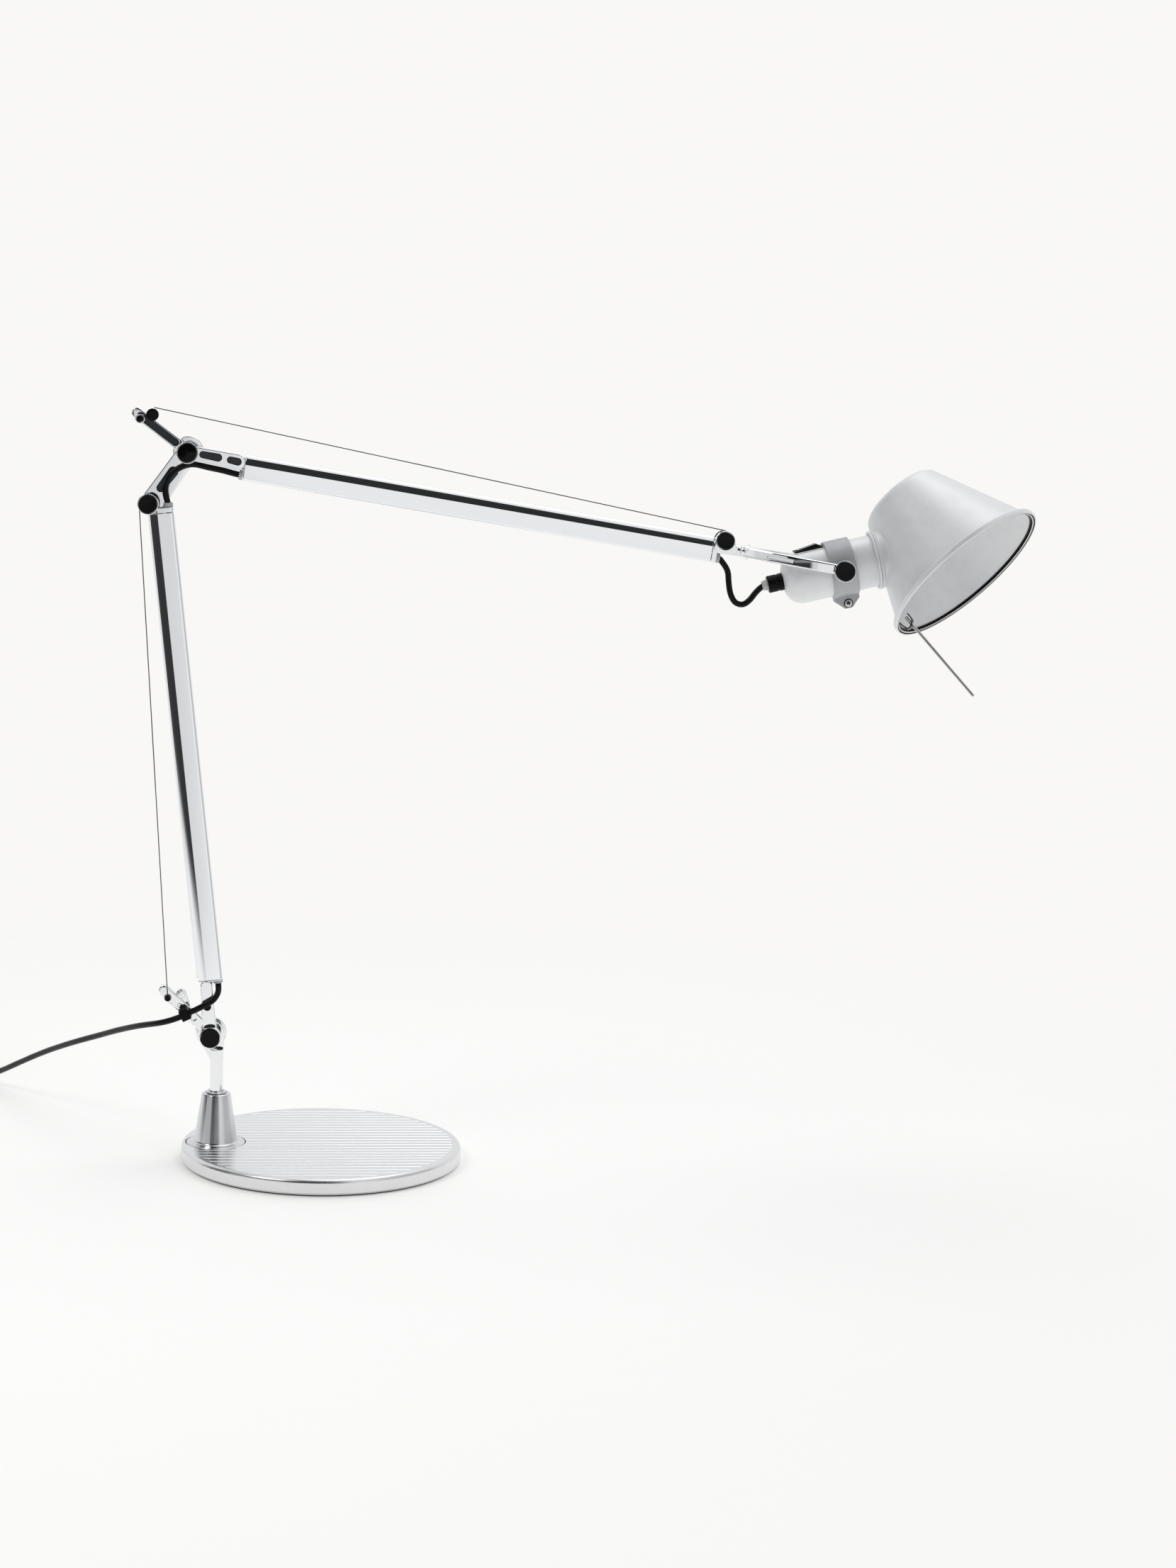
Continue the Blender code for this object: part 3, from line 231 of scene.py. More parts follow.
FINISH = {
    "polished": surface("polished", "polished_aluminium", (0.85, 0.855, 0.865), 1.0, (0.035, 0.09), 0.0009,
                        0.000002, tint=0.02),
    "extruded": surface("extruded", "polished_aluminium", (0.90, 0.905, 0.92), 1.0, (0.04, 0.085), 0.0007,
                        0.0000015, (1, 1, 0.04), tint=0.02),
    # near-black webs in the castings' recesses: painted shade, with a speckle for the as-cast grain
    "recess_shade_web": surface("recess_shade_web", "polished_aluminium", (0.045, 0.047, 0.052), 1.0, (0.35, 0.5), 0.0011,
                        0.00006, tint=0.5, speck=0.6),
    "brushed": surface("brushed", "satin_aluminium", (0.77, 0.77, 0.775), 1.0, (0.25, 0.32), 0.0006,
                       0.0000006, (0.05, 1, 1), tint=0.02),
    "turned": surface("turned", "polished_aluminium", (0.68, 0.69, 0.70), 1.0, (0.15, 0.24), 0.0008,
                      0.000004, (1, 1, 0.2), tint=0.06),
    "shadow_line": surface("shadow_line", "satin_aluminium", (0.17, 0.17, 0.175), 1.0, (0.4, 0.5), 0.0005,
                           0.000004,
                           tint=0.05),
    "satin": surface("satin", "satin_aluminium", (0.80, 0.80, 0.81), 1.0, (0.27, 0.36), 0.0005, 0.000012,
                     tint=0.03),
    "paint": surface("paint", "matte_silver_paint", (0.83, 0.835, 0.84), 0.30, (0.46, 0.54), 0.0004, 0.000012,
                     tint=0.03, speck=0.25),
    "cable": surface("cable", "steel", (0.15, 0.15, 0.15), 1.0, (0.32, 0.42), 0.0004, 0.000002, tint=0.05),
    "cast": surface("cast", "cast_grey", (0.44, 0.45, 0.465), 0.35, (0.42, 0.55), 0.00055, 0.00004, tint=0.09,
                    speck=0.6),
    "steel": surface("steel", "steel", (0.62, 0.61, 0.60), 1.0, (0.13, 0.24), 0.0004, 0.000003, (1, 1, 0.05)),
    "dark_steel": surface("dark_steel", "steel", (0.035, 0.034, 0.033), 0.8, (0.2, 0.32), 0.0006, 0.00001,
                          tint=0.1),
    "gloss": surface("gloss", "black_plastic", (0.003, 0.003, 0.0035), 0.0, (0.12, 0.22), 0.0012, 0.000006,
                     tint=0.2,
                     specular=0.12),
    "moulded": surface("moulded", "black_plastic", (0.004, 0.004, 0.0045), 0.0, (0.32, 0.46), 0.0005, 0.00002,
                       tint=0.2, specular=0.1),
    "rubber": surface("rubber", "black_rubber", (0.02, 0.02, 0.02), 0.0, (0.55, 0.75), 0.0006, 0.00002,
                      tint=0.2),
    "collar": surface("collar", "grey_plastic", (0.50, 0.51, 0.52), 0.0, (0.35, 0.5), 0.0005, 0.00001),
    "sheath": surface("sheath", "cord_black", (0.003, 0.003, 0.0035), 0.0, (0.24, 0.36), 0.0009, 0.00001,
                      tint=0.25,
                      specular=0.16),
    "opal": surface("opal", "glass", (0.90, 0.90, 0.87), 0.0, (0.18, 0.28), 0.001, 0.000004, tint=0.02),
    "glaze": surface("glaze", "ceramic", (0.84, 0.83, 0.79), 0.0, (0.15, 0.3), 0.0008, 0.00001),
    "iron": surface("iron", "weight_iron", (0.16, 0.155, 0.15), 0.9, (0.5, 0.7), 0.001, 0.00006, tint=0.3),
}


# ---- modelling helpers --------------------------------------------------------------------------
def linked(obj):
    """The object, in the scene."""
    if obj.name not in bpy.context.scene.collection.objects:
        bpy.context.scene.collection.objects.link(obj)
    return obj


def new_object(name, data):
    return linked(bpy.data.objects.new(name, data))


def place(obj, matrix, body, finish, *nodes, weighted=True):
    """Puts a finished piece on its body, in place of the CAD nodes that it stands for."""
    material = FINISH[finish]
    linked(obj)
    obj.data.materials.clear()
    obj.data.materials.append(material)
    obj.matrix_world = matrix
    if weighted:
        even = obj.modifiers.new("even_normals", "WEIGHTED_NORMAL")
        even.keep_sharp = True
    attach(obj, body)
    if nodes:
        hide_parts(*nodes)
    return obj


def from_bmesh(name, bm):
    mesh = bpy.data.meshes.new(name)
    bmesh.ops.recalc_face_normals(bm, faces=bm.faces)
    bm.to_mesh(mesh)
    bm.free()
    return rounded(bpy.data.objects.new(name, mesh))


def rounded(obj, degrees=38):
    obj.data.shade_smooth()
    obj.data.set_sharp_from_angle(angle=math.radians(degrees))
    return obj


def lathe(name, profile, steps=AROUND, closed=False):
    """A turned piece from (radius, height) points; points on the axis close it."""
    bm = bmesh.new()
    rings = []
    for r, z in profile:
        if r < 1e-9:
            rings.append([bm.verts.new((0, 0, z))])
            continue
        turn = 2 * math.pi / steps
        rings.append([bm.verts.new((r * math.cos(i * turn), r * math.sin(i * turn), z))
                      for i in range(steps)])
    pairs = list(zip(rings, rings[1:])) + ([(rings[-1], rings[0])] if closed else [])
    for a, b in pairs:
        for i in range(steps):
            j = (i + 1) % steps
            corners = [a[i % len(a)], a[j % len(a)], b[j % len(b)], b[i % len(b)]]
            bm.faces.new(list(dict.fromkeys(corners)))
    return from_bmesh(name, bm)


def bend(r, z, radius, start, end, steps=5):
    """Points of an arc about (r, z), from start to end degrees."""
    out = []
    for i in range(steps + 1):
        a = math.radians(start + (end - start) * i / steps)
        out.append((r + radius * math.cos(a), z + radius * math.sin(a)))
    return out


def soft_disc(radius, low, high, edge):
    """A turned disc's outline with both edges rounded."""
    return ([(0, high)] + bend(radius - edge, high - edge, edge, 90, 0)
            + bend(radius - edge, low + edge, edge, 0, -90)
            + [(0, low)])


def rod(name, radius, low, high, edge=0.0003, steps=48):
    return lathe(name, soft_disc(radius, low, high, edge), steps)


def washer(name, inner, outer, low, high, edge=0.0003, steps=AROUND):
    return lathe(name, bend(outer - edge, high - edge, edge, 90, 0, 3)
                 + bend(outer - edge, low + edge, edge, 0, -90, 3)
                 + bend(inner + edge, low + edge, edge, -90, -180, 3)
                 + bend(inner + edge, high - edge, edge, 180, 90, 3),
                 steps, closed=True)


def circle(x, y, radius, sides=40):
    turn = 2 * math.pi / sides
    return [(x + radius * math.cos(i * turn), y + radius * math.sin(i * turn)) for i in range(sides)]


def turn_of(a, b, c):
    return (b[0] - a[0]) * (c[1] - a[1]) - (b[1] - a[1]) * (c[0] - a[0])


def hull(*discs, sides=56):
    """The outline round a set of discs (x, y, radius): bars, links and eyes."""
    points = sorted({p for x, y, r in discs for p in circle(x, y, r, sides)})

    def half(run):
        kept = []
        for p in run:
            while len(kept) > 1 and turn_of(kept[-2], kept[-1], p) <= 1e-12:
                kept.pop()
            kept.append(p)
        return kept[:-1]
    return half(points) + half(points[::-1])


def plate(name, loops, low, high, edge=0.0005, steps=3):
    """A flat outline with its holes, extruded from low to high with rounded edges."""
    curve = bpy.data.curves.new(name, "CURVE")
    curve.dimensions, curve.fill_mode = "2D", "BOTH"
    curve.extrude, curve.bevel_depth = (high - low) / 2 - edge, edge
    curve.offset, curve.bevel_resolution = -edge, steps - 1
    for loop in loops:
        spline = curve.splines.new("POLY")
        spline.points.add(len(loop) - 1)
        for point, (x, y) in zip(spline.points, loop):
            point.co = (x, y, 0, 1)
        spline.use_cyclic_u = True
    flat = bpy.data.objects.new(name, curve)
    flat.location.z = (low + high) / 2
    return meshed(flat)


def meshed(source):
    """The evaluated mesh of a curve or a modified object, welded, at the place it had."""
    name = source.name
    linked(source)
    bpy.context.view_layer.update()
    shown = source.evaluated_get(bpy.context.evaluated_depsgraph_get())
    mesh = bpy.data.meshes.new_from_object(shown)
    mesh.transform(source.matrix_world)
    bpy.data.objects.remove(source)
    bm = bmesh.new()
    bm.from_mesh(mesh)
    bmesh.ops.remove_doubles(bm, verts=bm.verts, dist=2e-6)
    bmesh.ops.dissolve_degenerate(bm, edges=bm.edges, dist=1e-7)
    bm.to_mesh(mesh)
    bm.free()
    obj = bpy.data.objects.new(name, mesh)
    obj.name = name
    return rounded(obj)


def combine(target, tools, operation):
    """Applies Booleans by tools that have the target's own frame, and removes the tools."""
    for obj in [target, *tools]:
        linked(obj)
    for tool in tools:
        step = target.modifiers.new("step", "BOOLEAN")
        step.operation, step.solver, step.object = operation, "EXACT", tool
    done = meshed(target)
    for tool in tools:
        bpy.data.objects.remove(tool)
    return done


def cut(target, *tools):
    return combine(target, tools, "DIFFERENCE")


def join(target, *tools):
    return combine(target, tools, "UNION")


def put(obj, matrix):
    obj.data.transform(matrix)
    return obj


def block(name, low, high, edge=0.0):
    bm = bmesh.new()
    bmesh.ops.create_cube(bm, size=1.0)
    low, high = Vector(low), Vector(high)
    bmesh.ops.scale(bm, vec=high - low, verts=bm.verts)
    bmesh.ops.translate(bm, vec=(low + high) / 2, verts=bm.verts)
    if edge:
        bmesh.ops.bevel(bm, geom=bm.edges[:], offset=edge, segments=3, affect="EDGES", profile=0.5)
    return from_bmesh(name, bm)


def smooth_path(points, per_span=8):
    """Points on a smooth curve through the given ones."""
    pts = [Vector(p) for p in points]
    run = [2 * pts[0] - pts[1]] + pts + [2 * pts[-1] - pts[-2]]
    out = []
    for i in range(1, len(run) - 2):
        p0, p1, p2, p3 = run[i - 1:i + 3]
        for k in range(per_span):
            t = k / per_span
            out.append(0.5 * (2 * p1 + (p2 - p0) * t + (2 * p0 - 5 * p1 + 4 * p2 - p3) * t * t
                              + (3 * p1 - p0 - 3 * p2 + p3) * t ** 3))
    return out + [pts[-1]]


def relaxed(points, rounds):
    """The same path with its kinks eased, both ends held."""
    pts = [Vector(p) for p in points]
    for _ in range(rounds):
        pts = [pts[0]] + [(pts[i - 1] + 2 * pts[i] + pts[i + 1]) / 4
                          for i in range(1, len(pts) - 1)] + [pts[-1]]
    return pts


def strand(name, points, radius, resolution=5, taper=None):
    """A round wire along points; taper gives each point's share of the radius."""
    curve = bpy.data.curves.new(name, "CURVE")
    curve.dimensions, curve.bevel_depth, curve.use_fill_caps = "3D", radius, True
    curve.bevel_resolution = resolution
    spline = curve.splines.new("POLY")
    spline.points.add(len(points) - 1)
    for i, (point, p) in enumerate(zip(spline.points, points)):
        point.co = (*p, 1)
        point.radius = taper[i] if taper else 1.0
    return new_object(name, curve)


# ---- base ---------------------------------------------------------------------------------------
def build_base():
    rim = 0.0030
    shell = ([(0, BASE_TOP)] + bend(BASE_R - rim, BASE_TOP - rim, rim, 90, 0, 10)
             + [(BASE_R, 0.0026), (BASE_R - 0.0012, 0.0012), (0.0979, 0.0010), (0.0976, 0.0014),
                (0.0975, 0.0095),
                (0, 0.0095)])
    cover = lathe("base_cover_turned", shell, 192)
    seat = lathe("hub_seat", [(0, 0.014), (HUB_FLANGE_R + 0.0012, 0.014),
                              (HUB_FLANGE_R + 0.0006, BASE_TOP - 0.0003),
                              (HUB_FLANGE_R + 0.0005, 0.0085), (0, 0.0085)])
    pitch, groove_r, depth, yaw, inset = 0.0073, 0.00115, 0.00042, math.radians(2.0), 0.0050
    grooves, groove_shade_strips = [], []
    count = int((BASE_R - inset) / pitch)
    for i in range(-count, count + 1):
        across = i * pitch
        half = math.sqrt(max((BASE_R - inset) ** 2 - across ** 2, 1e-6))
        if half < 0.012:
            continue
        ends = [(0, half)] + bend(0, half - groove_r, groove_r, 80, 0, 4)
        tool = lathe("groove", ends + [(r, -z) for r, z in reversed(ends)], 16)
        put(tool, shift(0, across, BASE_TOP + groove_r - depth) @ Matrix.Rotation(math.pi / 2, 4, "Y"))
        grooves.append(tool)
        if abs(across) < HUB_FLANGE_R + 0.0006:
            near = HUB_X + math.sqrt((HUB_FLANGE_R + 0.0006) ** 2 - across ** 2) + 0.0012
        else:
            near = groove_r - half
        # a dark strip along each groove's bottom: painted shade in the grooves
        groove_shade_strips.append(block("groove_shade_strip", (near, across - 0.0005, BASE_TOP - depth - 0.0002),
                            (half - groove_r, across + 0.0005, BASE_TOP - depth + 0.0001)))
    lines = put(join(groove_shade_strips[0], *groove_shade_strips[1:]), Matrix.Rotation(yaw, 4, "Z"))
    place(lines, Matrix(), "base", "shadow_line", weighted=False)
    bm = bmesh.new()
    for tool in grooves:
        bm.from_mesh(tool.data)
        bpy.data.objects.remove(tool)
    cutter = put(from_bmesh("grooves", bm), Matrix.Rotation(yaw, 4, "Z"))
    cover = cut(cover, cutter, put(seat, shift(HUB_X, 0, 0)))
    place(cover, Matrix(), "base", "brushed", "base_cover")
    pad = lathe("base_pad_moulded", soft_disc(0.0975, 0, BASE_FLOOR - GAP, 0.0004))
    place(pad, Matrix(), "base", "rubber", "base_pad")

    bush, bore, nose = 0.00685, STEM_R + GAP, HUB_TOP + 0.0016
    profile = ([(0, 0.0122), (bore, 0.0122)] + bend(bore + 0.0003, nose - 0.0003, 0.0003, 180, 90, 2)
               + bend(bush - 0.0005, nose - 0.0005, 0.0005, 90, 0, 4)
               + [(bush, HUB_TOP - 0.0012), (bush + 0.0006, HUB_TOP - 0.0012),
                  (bush + 0.0006, HUB_TOP - 0.0003)]
               + bend(HUB_TOP_R - 0.0012, HUB_TOP - 0.0012, 0.0012, 90, 8, 5))
    fillet, fillet_at = 0.0016, (HUB_FOOT_R + 0.0018, 0.0146)
    profile += bend(*fillet_at, fillet, 188, 266, 6)
    profile += bend(HUB_FLANGE_R - 0.0006, BASE_TOP - 0.0004, 0.0006, 84, 0, 4)
    profile += [(HUB_FLANGE_R, 0.0096), (0, 0.0096)]
    place(lathe("hub_turned", profile), shift(HUB_X, 0, 0), "base", "turned", "hub")


# ---- pivots -------------------------------------------------------------------------------------
def ring_head(bore, ring, seat, face, foot, shank, tail):
    """A bright ring with a pocket for its cap, and the bolt behind it."""
    edge = 0.00035
    return ([(0, seat), (bore, seat)] + bend(bore + edge, face - edge, edge, 180, 90, 3)
            + bend(ring - edge, face - edge, edge, 90, 0, 3) + [(ring, foot), (shank, foot)]
            + bend(shank - edge, tail + edge, edge, 0, -90, 2) + [(0, tail)])


def cap_shape(radius, seat, top, dome=0.0, edge=0.0005):
    """A black cap with a soft edge, and a shallow dish unless dome is given."""
    dish = [(0, top + dome), (radius * 0.45, top + dome * 0.8)] if dome else [(0, top - 0.00015),
                                                                             (radius * 0.6, top - 0.0001)]
    return dish + bend(radius - edge, top - edge, edge, 90, 0, 4) + [(radius, seat + GAP), (0, seat + GAP)]


def build_knob(prefix, where, body, nodes, dome=0.0, disc=0.011):
    bolt, cap, back = nodes
    place(lathe(prefix + "_bolt_turned", ring_head(CAP_R + GAP / 2, KNOB_R, CAP_SEAT, RING_FACE,
                                                   FRONT[1] + GAP, BOLT_R,
                                                   -0.0120)), where, body, "polished", bolt)
    place(lathe(prefix + "_cap_moulded", cap_shape(CAP_R, CAP_SEAT, CAP_TOP, dome)), where, body, "gloss",
          cap)
    place(washer(prefix + "_disc_turned", BOLT_R + GAP, disc, -0.0113, BACK[0] - GAP, 0.0006), where, body,
          "polished", back)


# ---- stem ---------------------------------------------------------------------------------------
def xz(point):
    return point[0], point[2]


def build_stem():
    low, high = BACK
    tip = LEVER_TIP - LOWER_PIVOT
    eye = plate("stem_eye", [hull((*xz(LOWER_PIVOT), PLATE_R), (HUB_X, 0.073, STEM_R)),
                             circle(*xz(LOWER_PIVOT), BOLT_R + GAP)], low, high)
    lever = plate("stem_lever", [hull((*xz(LOWER_PIVOT + tip * 0.18), 0.0042), (*xz(LEVER_TIP), 0.0038))],
                  low, high,
                  0.0009)
    groove = plate("lever_groove", [hull((*xz(LOWER_PIVOT + tip * 0.36), 0.0020),
                                         (*xz(LOWER_PIVOT + tip * 0.66), 0.0018))],
                   high - 0.0010, high + 0.002, 0.0003)
    lug = plate("stem_lug", [hull((*xz(LUG), 0.0038), (-0.0985, 0.1085, 0.0038))], low, high - 0.0012)
    boss = put(rod("lug_boss", 0.0027, high - 0.002, high - 0.0004), shift(*xz(LUG)))
    shaft = put(rod("stem_shaft", STEM_R, 0.0126, STEM_TOP), XZ_FRONT.inverted() @ shift(HUB_X, 0, 0))
    stem = join(shaft, eye, lever, lug, boss)
    screw_slot = put(block("slot", (-0.003, -0.0003, high - 0.0009), (0.003, 0.0003, high + 0.001)),
                     shift(*xz(LUG)) @ Matrix.Rotation(0.8, 4, "Z"))
    anchor = put(rod("anchor_bore", ANCHOR_R + GAP, -0.012, 0.001), shift(*xz(ANCHOR)))
    stem = cut(stem, groove, screw_slot, anchor)
    stem.name = "stem_cast"
    place(stem, XZ_FRONT, "stem", "polished", "stem")
    pin = lathe("lever_anchor_pin_turned", [(0, 0.0020), (0.0008, 0.0022)]
                + bend(ANCHOR_R - 0.0004, 0.0018, 0.0004, 90, 0)
                + [(ANCHOR_R, -0.0095), (0, -0.0095)], 48)
    place(pin, moved(XZ_FRONT, *xz(ANCHOR)), "stem", "gloss", "lever_anchor_pin")
    collar = washer("anchor_collar", ANCHOR_R + 0.0001, 0.0027, high, high + 0.0010, 0.0002, 48)
    place(collar, moved(XZ_FRONT, *xz(ANCHOR)), "stem", "steel")
    clip = block("cord_clip_moulded", (-0.0034, -0.0041, high + GAP), (0.0034, 0.0041, 0.0092), 0.0008)
    bore = put(rod("clip_bore", CORD_R + 0.0001, -0.01, 0.01), shift(0, 0, CLIP_F)
               @ Matrix.Rotation(math.pi / 2, 4, "Y"))
    place(cut(clip, bore), CLIP, "stem", "moulded", "cord_clip")
    build_knob("lower_pivot", moved(LOWER, 0, 0), "stem",
               ("lower_pivot_bolt", "lower_pivot_cap", "lower_back_disc"))


# ---- arms ---------------------------------------------------------------------------------------
def tube_outline(grow=0.0, steps=14):
    """The arm section in (n, f): elliptical on the spring side, square with round corners on the cord side."""
    top, bottom = TUBE_OFFSET + TUBE_WIDTH / 2 + grow, TUBE_OFFSET - TUBE_WIDTH / 2 - grow
    half, long, c = TUBE_DEPTH / 2 + grow, 0.0074, CORD_SIDE_R
    turns = [math.radians(90 * (i / steps - 1)) for i in range(2 * steps + 1)]
    return ([(top - long + long * math.cos(a), half * math.sin(a)) for a in turns]
            + bend(bottom + c, half - c, c, 90, 180, steps) + bend(bottom + c, -half + c, c, 180, 270, steps))


def build_tube(prefix, arm, body):
    loops = [tube_outline(), circle(SPRING_BORE_N, 0, SPRING_BORE_R), circle(CORD_BORE_N, 0, CORD_BORE_R, 24)]
    tube = plate(prefix + "_tube_extruded", loops, 0, TUBE_LENGTH, 0.00025, 2)
    place(tube, section_frame(arm, TUBE_START), body, "extruded", prefix + "_tube")
    ring = plate(prefix + "_end_plug", [tube_outline(-0.0007), *loops[1:]], 0, 0.0010, 0.0002, 2)
    place(ring, section_frame(arm, TUBE_START - 0.0012), body, "satin")


def collar(name, arm, s, body, *nodes):
    """The grey collar where the cord leaves a tube."""
    ring = washer(name, CORD_R + 0.0002, 0.0034, -0.0030, 0.0, 0.0005, 48)
    place(ring, section_frame(arm, s) @ shift(CORD_BORE_N, 0, 0), body, "collar", *nodes)


def pocket(name, start, end, r0, r1, face, depth):
    """A recess between two flanges of a casting, cut from its front face."""
    return plate(name, [hull((*start, r0), (*end, r1))], face - depth, face + 0.004, 0.0004)


def build_foot(prefix, arm, body, recessed):
    shank_end, face = TUBE_START - GAP, FRONT[1]
    wide = 0.0056 if recessed else 0.0042
    foot = plate("foot_plate", [hull((0, 0, EYE_R), (shank_end - wide, -0.0007, wide)),
                                circle(0, 0, BOLT_R + GAP)],
                 *FRONT, 0.0007)
    stub = put(rod("foot_stub", SPRING_BORE_R - GAP, shank_end - 0.006, TUBE_START + 0.014),
               ALONG @ shift(SPRING_BORE_N, 0, 0))
    foot = join(foot, stub)
    webs = []
    if recessed:
        recesses = [((0.0105, 0.0004), (0.0212, 0.0002), 0.0025, 0.0028),
                    ((0.0298, 0.0), (0.0350, -0.0003), 0.0025, 0.0027)]
        foot = cut(foot, *[pocket("recess", *ends, face, 0.0020) for ends in recesses])
        # a dark web in each recess: painted shade
        for i, (a, b, r0, r1) in enumerate(recesses):
            webs.append(plate("%s_web_%d" % (prefix, i + 1), [hull((*a, r0 - 0.0001), (*b, r1 - 0.0001))],
                              face - 0.0021, face - 0.0014, 0.0001, 1))
    else:
        place(rod("foot_plug", 0.00285, face - 0.0006, face + 0.0007, 0.0003), moved(arm, 0.0215, 0), body,
              "gloss")
    foot.name = prefix + "_foot_cast"
    place(foot, arm, body, "polished", prefix + "_foot")
    for web in webs:
        place(web, arm, body, "recess_shade_web")


def end_block(name):
    """The casting on the far end of a tube, in the arm's frame."""
    made = plate(name, [tube_outline(-0.0001), circle(CORD_BORE_N, 0, CORD_BORE_R, 24)], 0, END_BLOCK, 0.0004)
    return put(made, axes((TUBE_END + GAP, 0, 0), (0, 1, 0), (0, 0, 1)))


def pulley_slot():
    return block("pulley_slot", (0.370, -0.0042, -0.0020), (0.3872, 0.0150, 0.0020))


def build_pulley(prefix, arm, wheel_body, arm_body, cap):
    where = moved(arm, PULLEY_S, PULLEY_N)
    floor = PULLEY_R - CABLE_R
    groove = ([(0.0018, 0.0016), (PULLEY_FLANGE_R - 0.0002, 0.0016), (PULLEY_FLANGE_R, 0.0013),
               (PULLEY_FLANGE_R, 0.0010)]
              + bend(floor + 0.0006, 0, 0.0006, 140, 220, 4)
              + [(PULLEY_FLANGE_R, -0.0010), (PULLEY_FLANGE_R, -0.0013), (PULLEY_FLANGE_R - 0.0002, -0.0016),
                 (0.0018, -0.0016)])
    place(lathe(prefix + "_pulley_moulded", groove, 64, closed=True), where, wheel_body, "moulded",
          prefix + "_pulley")
    place(lathe(prefix + "_pulley_axle_turned", ring_head(cap + GAP / 2, cap + 0.0009, CAP_SEAT, RING_FACE,
                                                          0.0058, 0.0015,
                                                          -0.0060)), where, arm_body, "polished",
          prefix + "_pulley_axle")
    place(lathe(prefix + "_pulley_cap_moulded", cap_shape(cap, CAP_SEAT, CAP_TOP)), where, arm_body, "gloss",
          prefix + "_pulley_cap")


def build_spring(prefix, arm, body):
    coil_r, wire_r, pitch, per_turn, start, end = 0.0031, 0.0006, 0.0042, 14, 0.075, 0.300
    steps = int((end - start) / pitch) * per_turn
    points = []
    for i in range(steps + 1):
        a = 2 * math.pi * i / per_turn
        points.append(at(arm, start + (end - start) * i / steps, SPRING_BORE_N + coil_r * math.cos(a),
                         coil_r * math.sin(a)))
    place(strand(prefix + "_spring_wound", points, wire_r, 1), Matrix(), body, "steel", prefix + "_spring",
          weighted=False)


def build_lower_arm():
    body = "lower_arm"
    build_tube("lower_arm", LOWER, body)
    build_foot("lower", LOWER, body, False)
    collar("lower_grommet_moulded", LOWER, TUBE_START - GAP, body, "lower_grommet")
    collar("lower_top_grommet", LOWER, TUBE_END + TOP_COLLAR, body)
    build_spring("lower", LOWER, body)
    build_pulley("lower", LOWER, "lower_pulley", body, LOWER_CAP_R)
    inward = LOWER.inverted()

    def local(point):
        p = inward @ point
        return p.x, p.y

    def between(share):
        return local(ELBOW + (ELBOW_LEVER_TIP - ELBOW) * share)
    elbow, tip, roller, hook = local(ELBOW), local(ELBOW_LEVER_TIP), local(ROLLER), local(HOOK)
    face = BACK[1]
    link = plate("elbow_link", [hull((*elbow, 0.0072), (PULLEY_S, PULLEY_N, 0.0066),
                                     (TUBE_END + 0.004, -0.002, 0.003)), circle(*elbow, BOLT_R + GAP)],
                 *BACK, 0.0007)
    lever = plate("elbow_lever", [hull((*between(0.2), 0.0040), (*tip, 0.0038))], *BACK, 0.0007)
    nose = plate("roller_nose", [hull((*roller, 0.0034), (*between(0.8), 0.0034))], BACK[0], face - 0.0012)
    bracket = join(end_block("elbow_block"), link, lever, nose)
    towards = (elbow[0] * 0.62 + PULLEY_S * 0.38, elbow[1] * 0.62 + PULLEY_N * 0.38)
    near = (elbow[0] * 0.30 + PULLEY_S * 0.70, elbow[1] * 0.30 + PULLEY_N * 0.70)
    recesses = [(between(0.25), between(0.93), 0.0027, 0.0027), (towards, near, 0.0036, 0.0030)]
    tools = [pocket("recess", a, b, r0, r1, face, 0.0022) for a, b, r0, r1 in recesses]
    bores = [put(rod("bore", r, -0.014, 0.012), shift(*spot))
             for spot, r in (((PULLEY_S, PULLEY_N), AXLE_BORE_R), (hook, HOOK_BORE_R), (roller, 0.0013))]
    bracket = cut(bracket, pulley_slot(), *tools, *bores)
    bracket.name = "elbow_bracket_cast"
    place(bracket, LOWER, body, "polished", "elbow_bracket")
    # a dark web in each recess: painted shade
    for i, (a, b, r0, r1) in enumerate(recesses):
        web = plate("elbow_web_%d" % (i + 1), [hull((*a, r0 - 0.0001), (*b, r1 - 0.0001))],
                    face - 0.0023, face - 0.0016, 0.0001, 1)
        if not i:
            web = cut(web, put(rod("web_bore", HOOK_BORE_R, -0.012, 0.012), shift(*hook)))
        place(web, LOWER, body, "recess_shade_web")
    hook_ring = washer("hook_ring", 0.0024, 0.0034, face - 0.0020, face + 0.0003, 0.0003, 48)
    place(hook_ring, moved(LOWER, *hook), body, "polished")
    roller_profile = ([(0, 0.0026)] + bend(ROLLER_R - 0.0006, 0.0020, 0.0006, 90, 0, 4)
                      + bend(ROLLER_R + 0.0001, 0, 0.0006,
                                                                                            130, 230, 5)
                      + bend(ROLLER_R - 0.0003, -0.0014, 0.0003, 0, -90, 3)
                      + [(0.0010, -0.0017), (0.0010, -0.0085),
                                                                               (0, -0.0085)])
    place(lathe("elbow_roller_turned", roller_profile, 64), moved(LOWER, *roller), body, "gloss",
          "elbow_roller")
    place(rod("hook_pin_turned", 0.0023, -0.0090, 0.0002, 0.0004), moved(LOWER, *hook), body, "gloss",
          "hook_pin")
    build_knob("elbow", moved(LOWER, *elbow), body, ("elbow_bolt", "elbow_cap", "elbow_back_disc"), 0.0007,
               0.0108)


